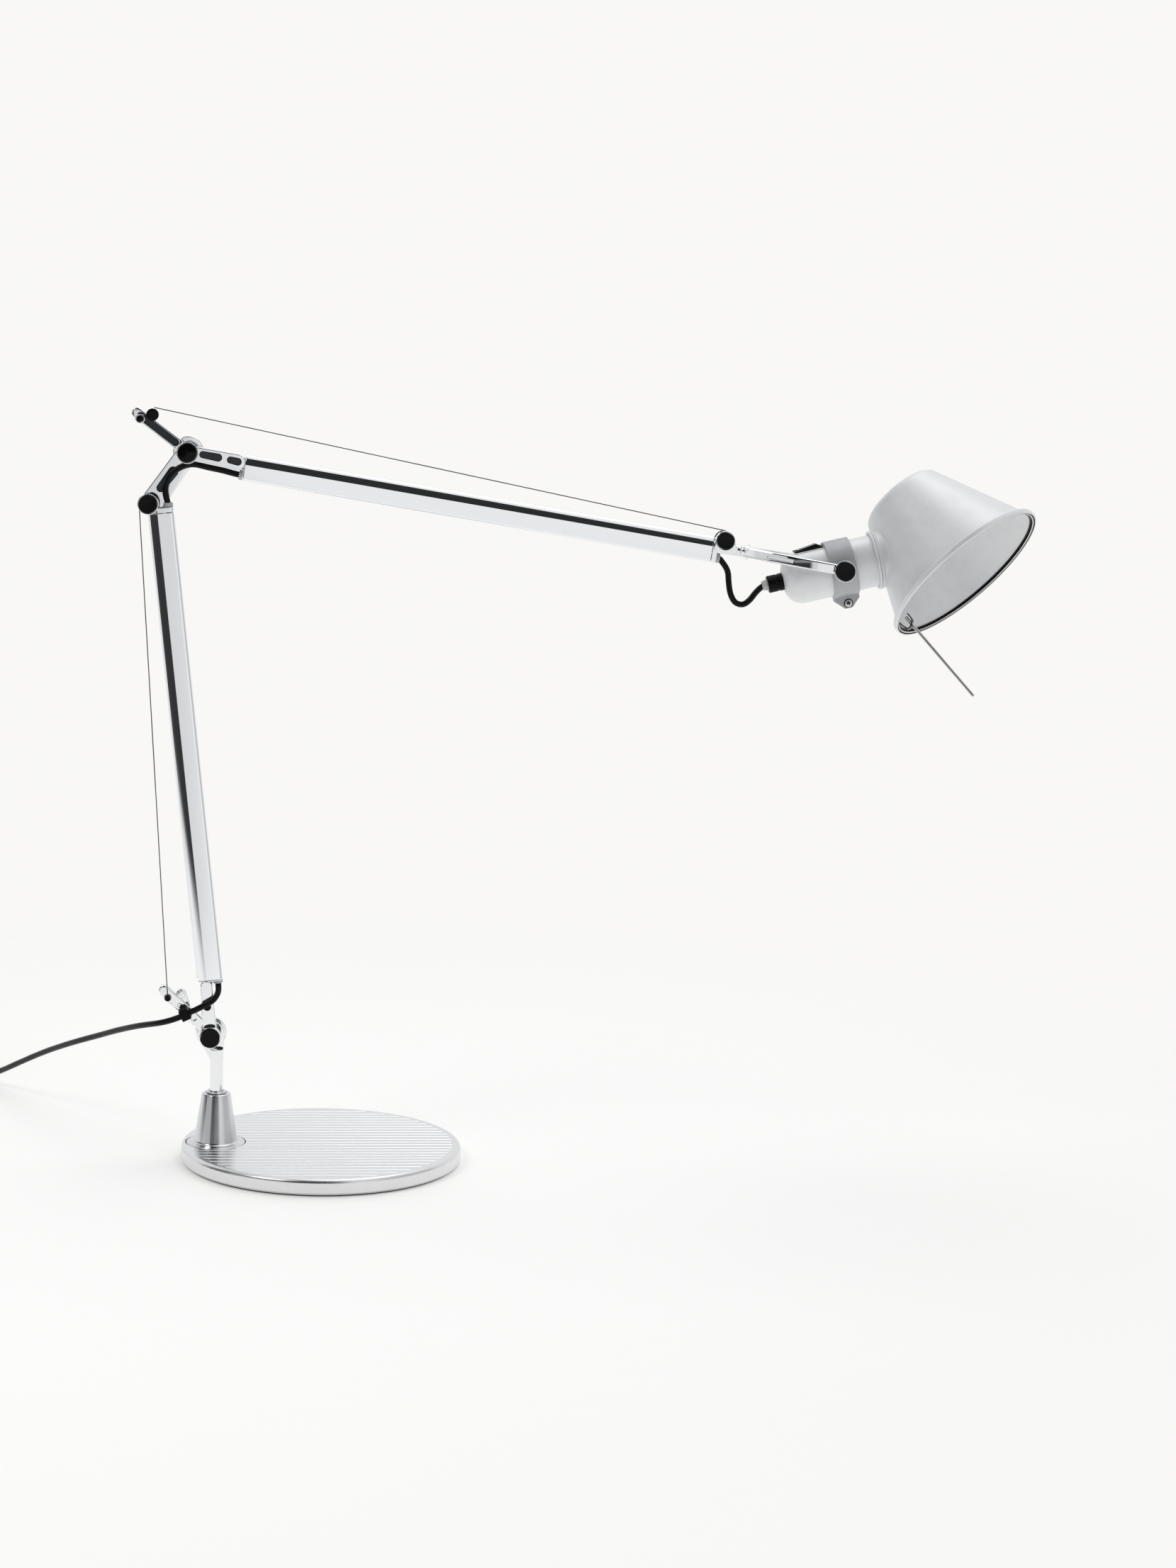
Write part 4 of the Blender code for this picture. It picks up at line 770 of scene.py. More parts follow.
def build_upper_arm():
    body = "upper_arm"
    build_tube("upper_arm", UPPER, body)
    build_foot("upper", UPPER, body, True)
    collar("upper_grommet_moulded", UPPER, TUBE_START - GAP, body, "upper_grommet")
    collar("upper_front_grommet", UPPER, TUBE_END + TOP_COLLAR, body)
    build_spring("upper", UPPER, body)
    build_pulley("upper", UPPER, "upper_pulley", body, UPPER_CAP_R)
    cheeks = plate("pulley_cheeks", [hull((PULLEY_S, PULLEY_N, 0.0062), (TUBE_END + 0.0045, -0.002, 0.0035),
                                          (0.3865, YOKE_N, 0.0036))], -0.0055, 0.0055, 0.0007)
    line = ALONG @ shift(YOKE_N, 0, 0)
    nose = put(rod("yoke_nose", 0.0042, 0.3860, YOKE_ROOT - GAP, 0.0004), line)
    fitting = join(end_block("front_block"), cheeks, nose)
    fitting = cut(fitting, pulley_slot(), put(rod("bore", AXLE_BORE_R, -0.012, 0.012),
                                              shift(PULLEY_S, PULLEY_N)),
                  put(rod("bore", 0.0023, 0.3878, 0.3930, 0.0001), line))
    fitting.name = "front_fitting_cast"
    place(fitting, UPPER, body, "polished", "front_fitting")


# ---- tension cables -----------------------------------------------------------------------------
def tangent(point, centre, radius, side):
    """Where a line from point touches a circle round centre, in the XZ plane; side is +1 or -1."""
    to = centre - point
    swing = side * math.acos(radius / to.length)
    back = -to / to.length
    return centre + radius * Vector((back.x * math.cos(swing) - back.z * math.sin(swing), 0,
                                     back.x * math.sin(swing) + back.z * math.cos(swing)))


def twisted(name, start, end, radius, lay=0.0042, wires=3, per_turn=9):
    """A rope of a few wires laid in a helix round the line from start to end."""
    where = axis_frame(start, end - start)
    length = (end - start).length
    steps = int(length / lay * per_turn)
    wire_r = radius * 0.56
    curve = bpy.data.curves.new(name, "CURVE")
    curve.dimensions, curve.bevel_depth, curve.use_fill_caps, curve.bevel_resolution = "3D", wire_r, True, 1
    for w in range(wires):
        spline = curve.splines.new("POLY")
        spline.points.add(steps)
        for i, point in enumerate(spline.points):
            a = 2 * math.pi * (i / per_turn + w / wires)
            off = radius - wire_r
            point.co = (*(where @ Vector((off * math.cos(a), off * math.sin(a), length * i / steps))), 1)
    return new_object(name, curve)


def build_cable(start, end, bodies, nodes, clear_start):
    """Two halves on one line: the second sleeves over the first, so each can swing with its own end."""
    run = (end - start).normalized()
    middle = start + run * ((end - start).length / 2)
    lap = run * (CABLE_OVERLAP / 2)
    first = twisted(nodes[0] + "_wire", start + run * clear_start, middle + lap, CABLE_R)
    second = twisted(nodes[1] + "_wire", middle - lap, end, CABLE_R * 1.04)
    for obj, body, node in zip((first, second), bodies, nodes):
        place(obj, Matrix(), body, "cable", node, weighted=False)


def build_cables():
    lower_wheel, upper_wheel = at(LOWER, PULLEY_S, PULLEY_N), at(UPPER, PULLEY_S, PULLEY_N)
    off = PULLEY_R + 2 * CABLE_R + GAP
    build_cable(ANCHOR, tangent(ANCHOR, lower_wheel, off, -1), ("lower_cable_foot", "lower_cable_head"),
                ("lower_cable_bottom", "lower_cable_top"), ANCHOR_R + 0.0012)
    roller_top = ROLLER + Vector((0.0011, 0, ROLLER_R + CABLE_R + GAP))
    build_cable(roller_top, tangent(roller_top, upper_wheel, off, -1),
                ("upper_cable_foot", "upper_cable_head"),
                ("upper_cable_rear", "upper_cable_front"), 0.0)


# ---- yoke ---------------------------------------------------------------------------------------
def prong_path():
    """Half of the fork in (s, f): from the swivel, out and forward to the head's pivot."""
    return [(YOKE_ROOT + 0.0035, 0.0022), (0.4000, 0.0052), (0.4080, 0.0105), (0.4180, 0.0160),
            (0.4300, 0.0203),
            (0.4430, 0.0227), (0.4540, PRONG_F), (HEAD_S, PRONG_F)]


def offset_path(path, distance):
    out = []
    for i, (s, f) in enumerate(path):
        a, b = path[max(i - 1, 0)], path[min(i + 1, len(path) - 1)]
        length = math.hypot(b[0] - a[0], b[1] - a[1])
        out.append((s - (b[1] - a[1]) / length * distance, f + (b[0] - a[0]) / length * distance))
    return out


def build_yoke():
    path = [(p.x, p.y) for p in smooth_path([(s, f, 0) for s, f in prong_path()], 5)]
    outer, inner = offset_path(path, PRONG_THICK / 2), offset_path(path, -PRONG_THICK / 2)
    inner = [p for p in inner if p[1] > 0.0014]
    outline = [(YOKE_ROOT, 0.0042)] + outer + inner[::-1] + [(0.4012, 0.0)]
    outline = outline + [(s, -f) for s, f in reversed(outline[:-1])]
    flat = axes((0, YOKE_N, 0), (1, 0, 0), (0, 0, 1))  # x along the arm, y towards the front
    yoke = put(plate("yoke_fork", [outline], -PRONG_WIDTH / 2, PRONG_WIDTH / 2, 0.0013, 4), flat)
    parts = []
    for side in (-1, 1):
        turn = shift(HEAD_S, HEAD_N, 0) @ Matrix.Rotation(0 if side > 0 else math.pi, 4, "X")
        parts.append(put(rod("prong_eye", 0.0062, PRONG_F - PRONG_THICK / 2, PRONG_F + PRONG_THICK / 2,
                             0.0006), turn))
    line = ALONG @ shift(YOKE_N, 0, 0)
    parts.append(put(rod("yoke_pin", 0.0020, 0.3881, 0.3960), line))
    knuckle = ([(0, 0.3926)] + bend(0.0036, 0.3932, 0.0006, -90, 0, 3)
               + bend(0.0046, 0.3950, 0.0004, 180, 90, 3)
               + bend(0.0044, 0.3975, 0.0012, 60, 0, 3) + [(0.0034, 0.4000), (0, 0.4004)])
    parts.append(put(lathe("yoke_knuckle", knuckle[::-1], 48), line))
    yoke = join(yoke, *parts)
    bores = put(rod("pivot_bores", 0.0026, -0.04, 0.04), shift(HEAD_S, HEAD_N))
    lean = math.atan2(0.0203 - 0.0105, 0.4300 - 0.4080)
    slots = []
    for side in (-1, 1):
        where = flat @ shift(0.4185, side * (0.0162 + PRONG_THICK / 2), 0) @ Matrix.Rotation(
            side * lean, 4, "Z") @ XZ_FRONT
        slots.append(put(plate("prong_slot", [hull((-0.0085, 0, 0.0014), (0.0085, 0, 0.0014))], -0.0016,
                               0.0016, 0.0003),
                         where))
    yoke = cut(yoke, bores, *slots)
    yoke.name = "yoke_cast"
    place(yoke, UPPER, "yoke", "polished", "yoke")


# ---- head ---------------------------------------------------------------------------------------
def cross_recess(size, low, high):
    bars = [block("bar", (-size, -size * 0.28, low), (size, size * 0.28, high)),
            block("bar", (-size * 0.28, -size, low), (size * 0.28, size, high))]
    return join(*bars)


def build_head():
    low, high = BAND_U
    ring = put(washer("band_ring", BODY_R + 0.0001, BAND_R, low, high, 0.0004), ALONG)
    lug = plate("clamp_lug", [[(low, -0.0195), (low, -0.0225), (low + 0.0062, -0.0287),
                               (high - 0.0062, -0.0287),
                               (high, -0.0225), (high, -0.0195)]], -0.0040, 0.0040, 0.0004)
    band = join(ring, lug)
    gap = block("clamp_gap", (low - 0.001, -0.030, -0.0007), (high + 0.001, -0.0150, 0.0007))
    spot = (0.0012, -0.0252)
    seat = put(rod("screw_seat", 0.0033, 0.0036, 0.0080, 0.0002), shift(*spot))
    bore = put(rod("clamp_bore", 0.0016, -0.008, 0.008), shift(*spot))
    band = cut(band, gap, seat, bore)
    band.name = "clamp_band_cast"
    place(band, HEAD, "head", "cast", "clamp_band")
    screw = lathe("clamp_screw_turned", [(0, 0.0058), (0.0012, 0.0057), (0.0020, 0.0053)]
                  + bend(0.0024, 0.0047, 0.0003, 60, -90)
                  + [(0.0012, 0.0042), (0.0012, -0.0045), (0, -0.0045)], 48)
    screw = cut(screw, put(cross_recess(0.0015, 0.0046, 0.0070), Matrix.Rotation(0.35, 4, "Z")))
    place(screw, moved(HEAD, *spot), "head", "steel", "clamp_screw")

    # black fillings in the screw's cross recess and in the gap round its head: painted shade
    dark = [rod("screw_cross_shade", 0.0016, 0.0040, 0.00468),
            washer("screw_gap_shade", 0.0025, 0.0032, 0.0037, 0.0043, 0.0001)]
    place(join(*dark), moved(HEAD, *spot), "head", "moulded")

    rear = 0.013
    back = bend(BODY_R - rear, HOUSING_REAR + rear, rear, 0, -90, 16)
    cup = put(lathe("housing_cup", [(0, 0.0), (BODY_R - 0.0004, 0.0), (BODY_R, -0.0004)] + back[:-1]
                    + [(BODY_R - rear, HOUSING_REAR), (0, HOUSING_REAR)]), ALONG)
    u0, u1 = PLATFORM_U
    cup = join(cup, block("switch_platform", (u0, 0.006, -PLATFORM_F), (u1, PLATFORM_N, PLATFORM_F), 0.0006))
    cup = cut(cup, block("flat_top", (u0 + 0.0003, PLATFORM_N, -0.02), (u1, 0.03, 0.02)),
              put(rod("cup_hollow", 0.0160, HOUSING_REAR + 0.0125, 0.001), ALONG),
              put(rod("cord_way", 0.0040, HOUSING_REAR - 0.001, HOUSING_REAR + 0.014, 0.0001), ALONG),
              block("switch_window", (u0 + 0.0022, 0.010, -ROCKER_HALF_F - 0.0006),
                    (u1 - 0.0014, 0.020, ROCKER_HALF_F + 0.0006)))
    cup.name = "socket_housing_drawn"
    place(cup, HEAD, "head", "paint", "socket_housing")
    neck = washer("neck_tube_drawn", 0.0168, BODY_R, GAP, NECK_END, 0.0003)
    place(neck, NECK_LINE, "head", "paint", "neck_tube")

    f = ROCKER_HALF_F
    border = [(u0 + 0.0006, -0.0066), (u1 - 0.0003, -0.0066), (u1 - 0.0003, 0.0066), (u0 + 0.0006, 0.0066)]
    window = [(u0 + 0.0022, -f - 0.0006), (u1 - 0.0014, -f - 0.0006), (u1 - 0.0014, f + 0.0006),
              (u0 + 0.0022, f + 0.0006)]
    bezel = plate("switch_bezel_moulded", [border, window], -PLATFORM_N - 0.0013, -PLATFORM_N - GAP, 0.0003)
    place(put(bezel, XZ_FRONT), HEAD, "head", "moulded", "switch_bezel")
    a, b = u0 + 0.0028, u1 - 0.0020
    rocker = plate("switch_rocker_moulded", [[(a, 0.0150), (b, 0.0150), (b, 0.0196), (-0.0128, 0.0212),
                                              (-0.0140, 0.0210),
                                              (a, 0.0194)]], -f, f, 0.0004)
    place(rocker, HEAD, "rocker", "gloss", "switch_rocker")

    seat_u, bore_r = HOUSING_REAR - GAP, CORD_R + 0.0002
    nut = lathe("gland_nut_moulded", [(bore_r, seat_u), (0.0062, seat_u), (0.0062, -0.0440),
                                      (0.0057, -0.0444),
                                      (0.0057, -0.0449), (0.0061, -0.0453)]
                + bend(0.0055, -0.0514, 0.0006, 0, -90)
                + [(bore_r, -0.0520)], 72, closed=True)
    place(nut, NECK_LINE, "head", "moulded", "gland_nut")
    relief = lathe("gland_collar", [(bore_r, -0.0520), (0.0040, -0.0520), (0.0037, -0.0540),
                                    (0.0031, -0.0560),
                                    (bore_r, -0.0561)], 48, closed=True)
    place(relief, NECK_LINE, "head", "collar")

    holder = [(0, 0.0120), (0.0080, 0.0120), (0.0080, 0.0308)] + bend(0.0086, 0.0304, 0.0006, 180, 90) + bend(
        0.0132, 0.0304, 0.0006, 90, 0) + [(0.0138, 0.0040), (0, 0.0040)]
    place(lathe("lamp_holder_glazed", holder), NECK_LINE, "head", "glaze", "lamp_holder")
    glass = smooth_path([(0, 0, 0.0740), (0.0075, 0, 0.0722), (0.0130, 0, 0.0665), (0.0155, 0, 0.0580),
                         (0.0150, 0, 0.0500), (0.0115, 0, 0.0400), (0.0078, 0, 0.0330), (0.0070, 0, 0.0300)],
                        4)
    bulb = lathe("bulb_blown", [(0, 0.0740)] + [(p.x, p.z) for p in glass[1:]]
                 + [(0.0070, 0.0150), (0.0030, 0.0130), (0, 0.0130)])
    place(bulb, NECK_LINE, "head", "opal", "bulb")

    edge = PRONG_F + PRONG_THICK / 2 + GAP
    seat, rim = edge + 0.0018, edge + 0.0027
    for side, turn in (("front", 0), ("back", math.pi)):
        face = HEAD @ Matrix.Rotation(turn, 4, "X")
        place(lathe("head_screw_%s_turned" % side, ring_head(CAP_R + GAP / 2, KNOB_R, seat, rim, edge, 0.0023,
                                                            BAND_R + GAP)), face, "head", "polished",
              "head_screw_" + side)
        place(lathe("head_cap_%s_moulded" % side, cap_shape(CAP_R, seat, edge + 0.0040)), face, "head",
              "gloss",
              "head_cap_" + side)


# ---- shade --------------------------------------------------------------------------------------
def shade_profile():
    """Down the outside from the closed end to the rolled lip, and back up the inside."""
    r, w = SHADE_ROUND, SHADE_WALL
    mouth = -SHADE_FRONT
    outer = [(0, SHADE_BACK)] + [(SHADE_BACK_R - r + r * math.sin(t), SHADE_BACK - r + r * math.cos(t))
                                 for t in [math.radians(6 * i) for i in range(13)]]
    lip = mouth + SHADE_LIP_DEPTH
    outer += [(SHADE_MOUTH_R - 0.0005, lip + 0.0006)] + bend(SHADE_MOUTH_R + 0.0006, lip + 0.0008, 0.0008,
                                                             200, 270, 3)
    outer += bend(SHADE_LIP_R - 0.0012, lip - 0.0012, 0.0012, 90, 0, 4) + bend(SHADE_LIP_R - 0.0006,
                                                                               mouth + 0.0006, 0.0006,
                                                                              0, -90, 3)
    inner = [(SHADE_LIP_R - w, mouth)] + bend(SHADE_LIP_R - w - 0.0012, mouth + 0.0012, 0.0012, 0, 90, 3)
    inner += [(SHADE_MOUTH_R - w * 0.6, mouth + 0.0028)]
    inner += [(SHADE_BACK_R - r + (r - w) * math.sin(t), SHADE_BACK - r + (r - w) * math.cos(t))
              for t in [math.radians(6 * (12 - i)) for i in range(13)]]
    return outer + inner + [(0, SHADE_BACK - w)]


def build_collar(shade):
    """The double bead round the neck and the flare that meets the shade's wall."""
    into = NECK_LINE.inverted() @ SHADE
    solid = BVHTree.FromPolygons([into @ v.co for v in shade.data.vertices],
                                 [list(p.vertices) for p in shade.data.polygons])
    bore, run = BODY_R + 0.0004, 0.0202
    beads = [(bore, 0.0253), (run - 0.0004, 0.0250)] + bend(run, 0.0259, 0.0009, -80, 75, 6)
    beads += [(run - 0.0002, 0.0270)] + bend(run, 0.0281, 0.0009, -75, 80, 6) + [(run, 0.0292)]
    bm = bmesh.new()
    steps, flare, up, columns = AROUND * 2, 0.0030, Vector((0, 0, 1)), []
    for i in range(steps):
        a = 2 * math.pi * i / steps
        out = Vector((math.cos(a), math.sin(a), 0))
        hit = solid.ray_cast(out * (run + flare), up)[0]
        inside = solid.ray_cast(out * bore, up)[0]
        wall = max(hit.z if hit else 0.034, 0.0296)
        deep = max(inside.z if inside else 0.034, 0.0296) + 0.0006
        start = max(wall - flare * 1.3, 0.0293)
        path = beads[:]
        for k in range(7):
            t = k / 6
            path.append((run + flare * t * t, start + (wall + 0.0003 - start) * (1 - (1 - t) ** 2)))
        path += [(run + flare * 0.5, wall + 0.0008), (bore, deep + 0.0006)]
        columns.append([bm.verts.new(out * r + Vector((0, 0, u))) for r, u in path])
    count = len(columns[0])
    for i in range(steps):
        a, b = columns[i], columns[(i + 1) % steps]
        for k in range(count):
            bm.faces.new((a[k], b[k], b[(k + 1) % count], a[(k + 1) % count]))
    place(rounded(from_bmesh("shade_collar", bm), 60), NECK_LINE, "shade", "paint")


def build_shade():
    shade = lathe("shade_spun", shade_profile(), 192)
    build_collar(shade)
    hole = put(rod("neck_hole", BODY_R + 0.0010, 0.010, 0.066, steps=96), SHADE.inverted() @ NECK_LINE)
    shade = cut(shade, hole)
    shade.name = "shade_spun"
    place(shade, SHADE, "shade", "paint", "shade")
    ring_r, ring_z = SHADE_LIP_R - SHADE_WALL - 0.0013, -SHADE_FRONT + 0.0009
    ring = lathe("rim_ring_wire", bend(ring_r, ring_z, 0.0006, 0, 330, 11), 192, closed=True)
    place(ring, SHADE, "shade", "steel", "rim_ring")
    # a black band round the rim wire: painted shadow in the gaps between lip, wire and inner wall
    rim_shadow_band = [(ring_r + across, ring_z + up) for across, up in
            [(0.0011, -0.0007), (0.0011, 0.0004), (0.0004, 0.0012), (-0.0018, 0.0017),
             (-0.0018, 0.0012), (-0.0004, 0.0009), (0.0004, 0.0006), (0.0007, 0.0), (0.0008, -0.0007)]]
    place(lathe("rim_painted_shadow", rim_shadow_band, 192, closed=True), SHADE, "shade", "moulded")

    hang = SHADE @ Matrix.Rotation(math.radians(-CLIP_AZIMUTH), 4, "Z")
    front = -SHADE_FRONT
    half, thick = 0.0021, 0.0008
    line = smooth_path([(SHADE_MOUTH_R - 0.0018, 0, front + 0.0080),
                        (SHADE_MOUTH_R - 0.0026, 0, front + 0.0020),
                        (SHADE_MOUTH_R - 0.0040, 0, front - 0.0020),
                        (SHADE_MOUTH_R - 0.0066, 0, front - 0.0020),
                        (ROD_RADIAL - 0.0022, 0, front + 0.0010), (ROD_RADIAL - 0.0026, 0, front + 0.0066)],
                       6)
    bm = bmesh.new()
    rows = []
    for i, p in enumerate(line):
        along = (line[min(i + 1, len(line) - 1)] - line[max(i - 1, 0)]).normalized()
        normal = Vector((along.z, 0, -along.x)) * thick / 2
        rows.append([bm.verts.new(p + normal * a + Vector((0, half * b, 0))) for a, b in
                     ((1, 1), (1, -1), (-1, -1), (-1, 1))])
    for a, b in zip(rows, rows[1:]):
        for k in range(4):
            bm.faces.new((a[k], b[k], b[(k + 1) % 4], a[(k + 1) % 4]))
    bm.faces.new(rows[0][::-1])
    bm.faces.new(rows[-1])
    clip = from_bmesh("shade_clip_bent", bm)
    place(clip, hang, "shade", "dark_steel", "shade_clip")
    nose = ROD_R * 0.65
    tip = [(0, front - ROD_DROP)] + bend(ROD_R * 0.35, front - ROD_DROP + nose, nose, -90, 0)
    rod_profile = tip + [(ROD_R, front - 0.068), (ROD_R, front + 0.0056), (ROD_R - 0.0003, front + 0.0060),
                         (0, front + 0.0060)]
    place(lathe("shade_rod_drawn", rod_profile[::-1], 40), hang @ shift(ROD_RADIAL, 0, 0), "shade",
          "steel", "shade_rod")


# ---- cords --------------------------------------------------------------------------------------
ELBOW_ROUTE = [at(LOWER, TUBE_END - 0.010, CORD_BORE_N), at(LOWER, TUBE_END + 0.001, CORD_BORE_N),
               at(LOWER, TUBE_END + 0.006, CORD_BORE_N),
               (-0.1164, -0.0006, 0.4760), (-0.1146, -0.0012, 0.4836),
               (-0.1102, -0.0014, 0.4895), (-0.1042, -0.0014, 0.4934), (-0.0965, -0.0014, 0.4950),
               (-0.0870, -0.0010, 0.4930), (-0.0770, -0.0004, 0.4912),
               at(UPPER, TUBE_START - 0.004, CORD_BORE_N),
               at(UPPER, TUBE_START + 0.010, CORD_BORE_N)]
HEAD_ROUTE = [at(UPPER, TUBE_END - 0.010, CORD_BORE_N), at(UPPER, TUBE_END + 0.005, CORD_BORE_N),
              (0.2742, 0, 0.4365), (0.2786, 0, 0.4300), (0.2797, 0, 0.4220), (0.2812, 0, 0.4140),
              (0.2848, 0, 0.4078), (0.2905, 0, 0.4064), (0.2953, 0, 0.4098), (0.2992, 0, 0.4150),
              HEAD @ Vector((-0.0555, -0.0002, 0)), HEAD @ Vector((-0.0490, 0, 0)),
              HEAD @ Vector((-0.0425, 0, 0))]
CLIP_AT = CLIP @ Vector((0, 0, CLIP_F))
CLIP_RUN = CLIP.to_3x3() @ Vector((-1, 0, 0))
EXIT_ROUTE = [at(LOWER, TUBE_START + 0.010, CORD_BORE_N), at(LOWER, TUBE_START - 0.0045, CORD_BORE_N),
              (-0.0752, -0.0046, 0.1218), (-0.0786, -0.0087, 0.1172), (-0.0842, -0.0088, 0.1138),
              (-0.0905, -0.0076, 0.1101), CLIP_AT - CLIP_RUN * 0.0038, CLIP_AT - CLIP_RUN * 0.0004]
FREE_ROUTE = [CLIP_AT + CLIP_RUN * 0.0004, CLIP_AT + CLIP_RUN * 0.0050, (-0.1095, -0.0045, 0.1012),
              (-0.1180, 0.0020, 0.0978), (-0.1320, 0.0190, 0.0920), (-0.1480, 0.0440, 0.0830),
              (-0.1650, 0.0700, 0.0725), (-0.1860, 0.1000, 0.0600), (-0.2085, 0.1340, 0.0450),
              (-0.2300, 0.1660, 0.0290), (-0.2480, 0.1940, 0.0150), (-0.2600, 0.2150, 0.0070),
              (-0.2660, 0.2350, 0.0032), (-0.2675, 0.2530, 0.0023), (-0.2672, 0.2640, 0.0022)]


def coil_path():
    """Nine turns in three layers: each keeps its place and steps to the next one over a short arc."""
    places = [(1, 0), (0, 0), (-1, 0), (-1, 1), (-1, 2), (0, 2), (0, 1), (1, 1), (1, 2)]
    pitch, per_turn, shift = 2 * CORD_R, 48, 1.5
    points = []
    for turn, (radial, layer) in enumerate(places):
        after = places[min(turn + 1, len(places) - 1)]
        for i in range(per_turn):
            a = 2 * math.pi * i / per_turn
            t = min(max((a - 2 * math.pi + shift) / shift, 0), 1)
            t = t * t * (3 - 2 * t)
            r = COIL_TURN_R + pitch * (radial + (after[0] - radial) * t)
            z = CORD_R + pitch * (layer + (after[1] - layer) * t)
            points.append(COIL_AT + Vector((r * math.cos(a), r * math.sin(a), z)))
    return points


def sheath(name, path, body, *nodes, weighted=True):
    """A cord along a path, closed at both ends, and left free of any body once placed."""
    cord = meshed(strand(name, path, CORD_R))
    place(cord, Matrix(), body, "sheath", *nodes, weighted=weighted)
    bpy.context.view_layer.update()
    world = cord.matrix_world.copy()
    cord.parent = None
    cord.matrix_world = world
    del cord["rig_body"]
    return cord


def build_cords():
    coil = coil_path()
    plug_place = axis_frame(COIL_AT + Vector((-0.040, COIL_TURN_R + 0.004, 0.0070)), (-1, 0, 0), (0, 0, 1))
    relief_end = plug_place @ Vector((0, 0, -0.0155))
    top = coil[-1].z
    tail = []
    r = COIL_TURN_R + 2 * CORD_R
    for i in range(14):
        a = math.pi / 2 * i / 13
        tail.append(COIL_AT + Vector((r * math.cos(a), r * math.sin(a), top - 0.0030 * (i / 13) ** 2)))
    path = relaxed(smooth_path(FREE_ROUTE), 6)
    join_up = smooth_path([path[-2], path[-1], Vector((-0.2690, 0.2745, CORD_R)), coil[0], coil[1]], 6)[6:-6]
    finish_up = smooth_path([tail[-2], tail[-1], tail[-1].lerp(relief_end, 0.5), relief_end], 5)[5:]
    whole = path[:-1] + join_up + coil[1:] + tail + finish_up[1:]
    cleaned = [whole[0]]
    for p in whole[1:]:
        if (p - cleaned[-1]).length > 0.0009:
            cleaned.append(p)
    free = sheath("power_cord_sheath", cleaned, "base", "power_cord", "cord_coil", weighted=False)
    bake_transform(free)

    half_z, half_f = 0.0048, 0.0068
    outline = hull((-0.0032, 0, half_f), (0.0032, 0, half_f))
    body = plate("plug_body", [outline], 0.0, 0.0340, 0.0016, 4)
    waist = [(0, 0.002), (0.0052, 0.001)] + [(0.0032 + 0.0020 * (k / 10) ** 1.5, -0.016 + 0.0016 * k)
                                             for k in range(10, -1, -1)] + [(0, -0.016)]
    parts = [lathe("plug_strain", waist, 40)]
    for side in (-1, 1):
        parts.append(put(lathe("plug_pin", [(0, 0.052)] + bend(0.0013, 0.0513, 0.0007, 90, 0)
                               + [(0.0020, 0.033), (0, 0.033)],
                               32), shift(side * half_z, 0, 0)))
    plug = join(body, *parts)
    plug.name = "plug_moulded"
    place(plug, plug_place, "base", "moulded", "plug")

    turn = math.radians(225)
    out = Vector((math.cos(turn), math.sin(turn), 0))
    tie = strand("cord_tie_band", [COIL_AT + out * (COIL_TURN_R + x) + Vector((0, 0, z)) for x,
                                   z in tie_loop()],
                 0.0011, 2)
    place(tie, Matrix(), "base", "moulded", "cord_tie", weighted=False)

    elbow = sheath("elbow_cord_sheath", relaxed(smooth_path(ELBOW_ROUTE), 8), "lower_arm", "elbow_cord")
    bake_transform(elbow)
    exit_piece = sheath("exit_cord_sheath", relaxed(smooth_path(EXIT_ROUTE), 8), "stem", "exit_cord")
    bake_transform(exit_piece)
    loop = relaxed(smooth_path(HEAD_ROUTE), 4)
    bottom = min(range(len(loop)), key=lambda i: loop[i].z)
    rear = sheath("head_cord_rear", loop[:bottom + 1], "upper_arm", "head_cord")
    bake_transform(rear)
    front = sheath("head_cord_front", loop[bottom:], "yoke")
    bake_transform(front)


def tie_loop():
    """A closed band round the coil's section: (across, up) points."""
    half, low, high, r = 0.0075, 0.0014, 0.0140, 0.003
    return (bend(half - r, high - r, r, 90, 0, 4) + bend(half - r, low + r, r, 0, -90, 4)
            + bend(-half + r, low + r, r, -90, -180, 4) + bend(-half + r, high - r, r, 180, 92, 4))


# ---- studio -------------------------------------------------------------------------------------
BACKDROP = (0.945, 0.938, 0.922, 1.0)
FLOOR_GLOW = 0.22  # the floor's own light, which brings it up to the backdrop
FLOOR_FADE = (0.35, 1.1)  # how far from the lamp the floor starts and ends fading out
STUDIO_LIGHT = 0.90


def build_camera():
    yaw, pitch, roll = math.radians(5.03), math.radians(8.253), math.radians(1.76)
    ahead = Vector((math.sin(yaw) * math.cos(pitch), math.cos(yaw) * math.cos(pitch), -math.sin(pitch)))
    right = Vector((math.cos(yaw), -math.sin(yaw), 0))
    up = right.cross(ahead)
    x = right * math.cos(roll) + up * math.sin(roll)
    y = -right * math.sin(roll) + up * math.cos(roll)
    data = bpy.data.cameras.new("camera")
    data.lens, data.sensor_width, data.sensor_fit = 70.0, 36.0, "AUTO"
    camera = new_object("camera", data)
    where = Matrix((x, y, -ahead)).transposed().to_4x4()
    where.translation = (-0.004, -2.139, 0.5873)
    camera.matrix_world = where
    bpy.context.scene.camera = camera


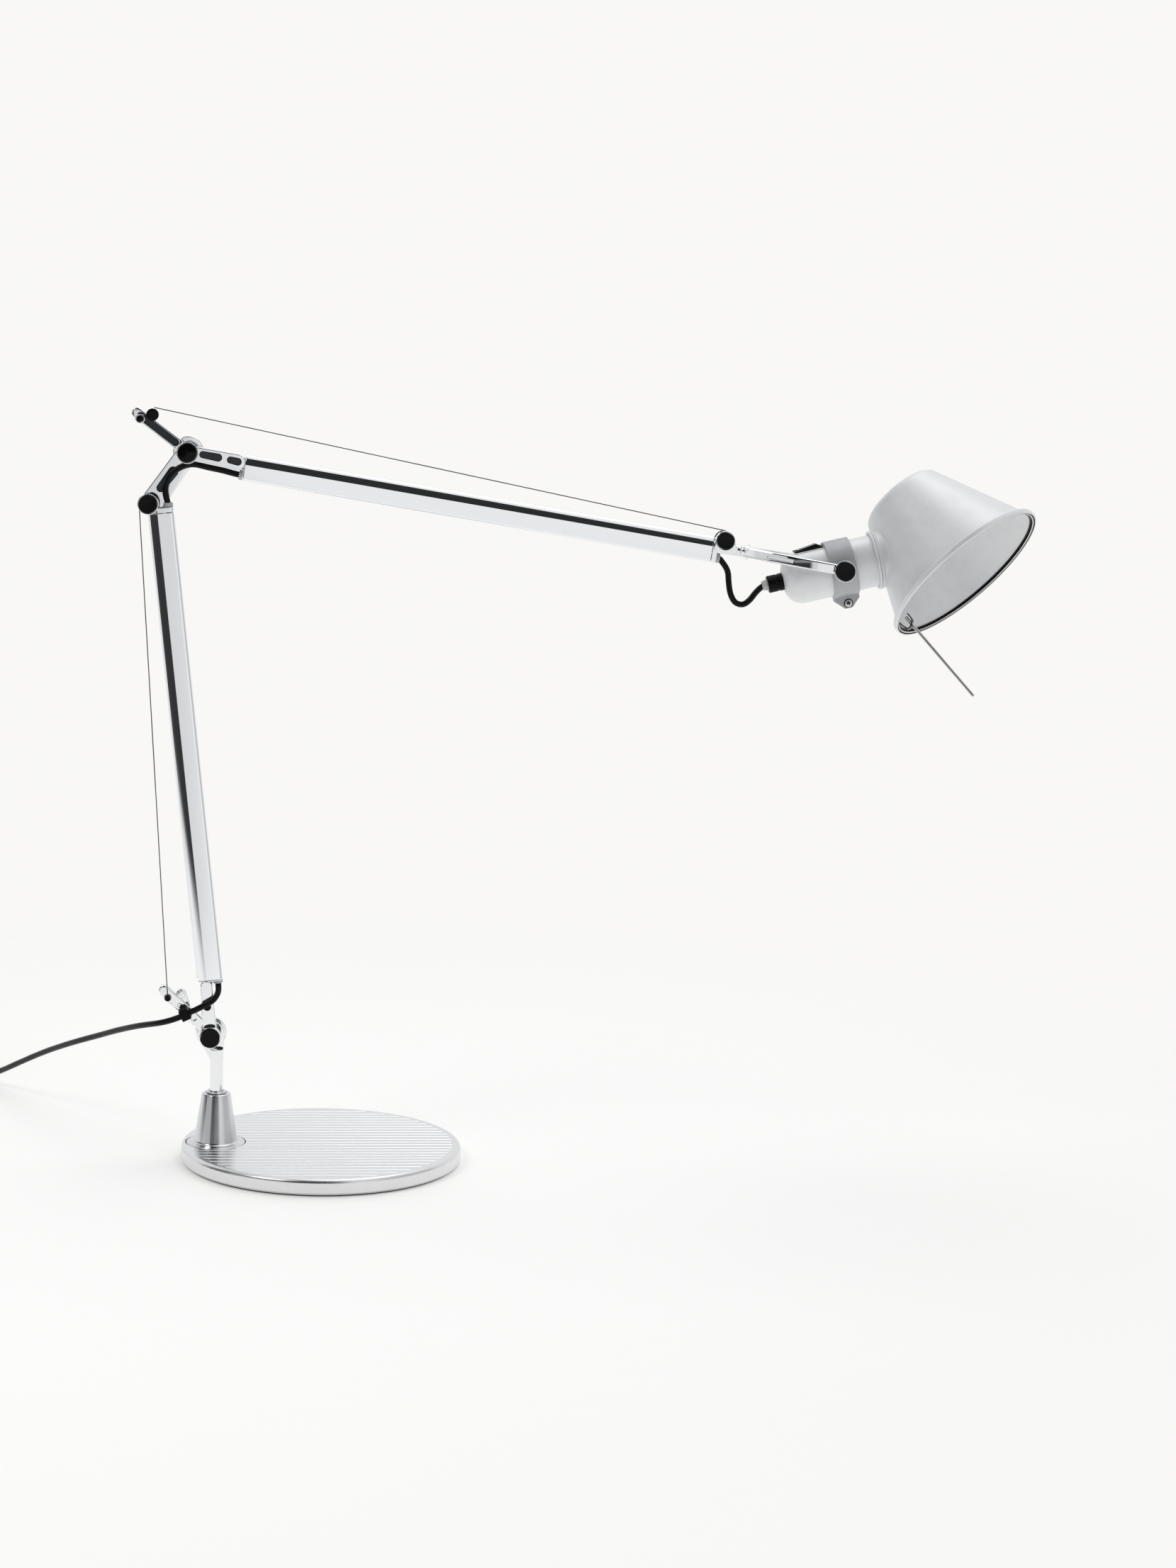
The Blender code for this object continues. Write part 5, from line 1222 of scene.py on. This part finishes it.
def build_floor():
    bm = bmesh.new()
    bmesh.ops.create_circle(bm, cap_ends=True, radius=3.0, segments=96)
    mesh = bpy.data.meshes.new("floor")
    bm.to_mesh(mesh)
    bm.free()
    floor = new_object("floor", mesh)
    made = bpy.data.materials.new("floor")
    made.use_nodes = True
    nodes, link = made.node_tree.nodes, made.node_tree.links.new
    shader = nodes["Principled BSDF"]
    set_inputs(shader, Base_Color=(0.93, 0.925, 0.915, 1), Roughness=0.9, Specular_IOR_Level=0.2,
               Emission_Color=BACKDROP, Emission_Strength=FLOOR_GLOW)
    where, reach = nodes.new("ShaderNodeTexCoord"), nodes.new("ShaderNodeVectorMath")
    reach.operation = "LENGTH"
    link(where.outputs["Object"], reach.inputs[0])
    fade = nodes.new("ShaderNodeMapRange")
    fade.interpolation_type = "SMOOTHSTEP"
    set_inputs(fade, From_Min=FLOOR_FADE[0], From_Max=FLOOR_FADE[1])
    link(reach.outputs["Value"], fade.inputs["Value"])
    clear, mixed = nodes.new("ShaderNodeBsdfTransparent"), nodes.new("ShaderNodeMixShader")
    link(fade.outputs["Result"], mixed.inputs["Fac"])
    link(shader.outputs["BSDF"], mixed.inputs[1])
    link(clear.outputs["BSDF"], mixed.inputs[2])
    link(mixed.outputs["Shader"], nodes["Material Output"].inputs["Surface"])
    floor.data.materials.append(made)


def build_world():
    """A white studio with dark cards round its front, seen only in reflections and in the light."""
    world = bpy.data.worlds.new("studio")
    bpy.context.scene.world = world
    world.use_nodes = True
    nodes, link = world.node_tree.nodes, world.node_tree.links.new

    def math_node(operation, a, b=None):
        made = nodes.new("ShaderNodeMath")
        made.operation = operation
        for socket, value in zip(made.inputs, (a, b)):
            if value is None:
                continue
            if isinstance(value, (int, float)):
                socket.default_value = value
            else:
                link(value, socket)
        return made.outputs["Value"]

    def step(value, edge, soft):
        made = nodes.new("ShaderNodeMapRange")
        made.interpolation_type = "SMOOTHSTEP"
        set_inputs(made, From_Min=edge - soft, From_Max=edge + soft)
        link(value, made.inputs["Value"])
        return made.outputs["Result"]

    where, split = nodes.new("ShaderNodeTexCoord"), nodes.new("ShaderNodeSeparateXYZ")
    link(where.outputs["Generated"], split.inputs["Vector"])
    x, y, z = split.outputs
    degrees = 180 / math.pi
    azimuth = math_node("MULTIPLY", math_node("ARCTAN2", x, math_node("MULTIPLY", y, -1.0)), degrees)
    height = math_node("MULTIPLY", math_node("ARCSINE", z), degrees)
    # (azimuth from, to), (height from, to), softness, darkness; azimuth 0 is the front, + is its right
    cards = [((-88, -7), (-15, 0.5), 1.5, 0.95), ((-112, -74), (-4, 60), 4.0, 0.85),
             ((-72, -12), (13, 80), 3.0, 0.92),
             ((-30, 20), (1, 62), 1.2, 0.97), ((-60, -2.2), (-28, 9), 1.2, 0.20),
             ((48, 108), (-25, 40), 12.0, 0.40),
             ((3, 16), (4, 7), 0.8, 0.60)]
    light = None
    for (west, east), (low, high), soft, dark in cards:
        inside = math_node("MULTIPLY", step(azimuth, west, soft),
                           math_node("SUBTRACT", 1.0, step(azimuth, east, soft)))
        tall = math_node("MULTIPLY", step(height, low, soft),
                         math_node("SUBTRACT", 1.0, step(height, high, soft)))
        left = math_node("SUBTRACT", 1.0, math_node("MULTIPLY", math_node("MULTIPLY", inside, tall), dark))
        light = left if light is None else math_node("MULTIPLY", light, left)
    studio, seen = nodes.new("ShaderNodeBackground"), nodes.new("ShaderNodeBackground")
    choice = nodes.new("ShaderNodeMixShader")
    studio.inputs["Color"].default_value = (0.98, 0.99, 1.0, 1.0)
    link(math_node("MULTIPLY", light, STUDIO_LIGHT), studio.inputs["Strength"])
    seen.inputs["Color"].default_value = BACKDROP
    rays = nodes.new("ShaderNodeLightPath")
    link(rays.outputs["Is Camera Ray"], choice.inputs["Fac"])
    link(studio.outputs["Background"], choice.inputs[1])
    link(seen.outputs["Background"], choice.inputs[2])
    out = next(n for n in nodes if n.type == "OUTPUT_WORLD")
    link(choice.outputs["Shader"], out.inputs["Surface"])


def build_lamp_light(name, where, target, size, power):
    data = bpy.data.lights.new(name, "AREA")
    data.shape, data.size, data.energy = "DISK", size, power
    light = new_object(name, data)
    light.location = where
    light.rotation_euler = (Vector(target) - Vector(where)).to_track_quat("-Z", "Y").to_euler()


def build_studio():
    bpy.context.scene.view_settings.view_transform = "Standard"
    build_camera()
    build_floor()
    build_world()
    build_lamp_light("key", (-1.3, -0.9, 1.9), (0.1, 0, 0.3), 0.9, 9)
    build_lamp_light("top", (0.5, 0.6, 2.2), (0.1, 0, 0.2), 1.2, 6)


def finish_weight():
    """The base weight stays as the CAD has it; only its finish comes from here."""
    data = frame["nodes"]["base_weight"].data
    data.materials.clear()
    data.materials.append(FINISH["iron"])


build_studio()
build_cords()
build_base()
build_stem()
build_lower_arm()
build_upper_arm()
build_cables()
build_yoke()
build_head()
build_shade()
finish_weight()
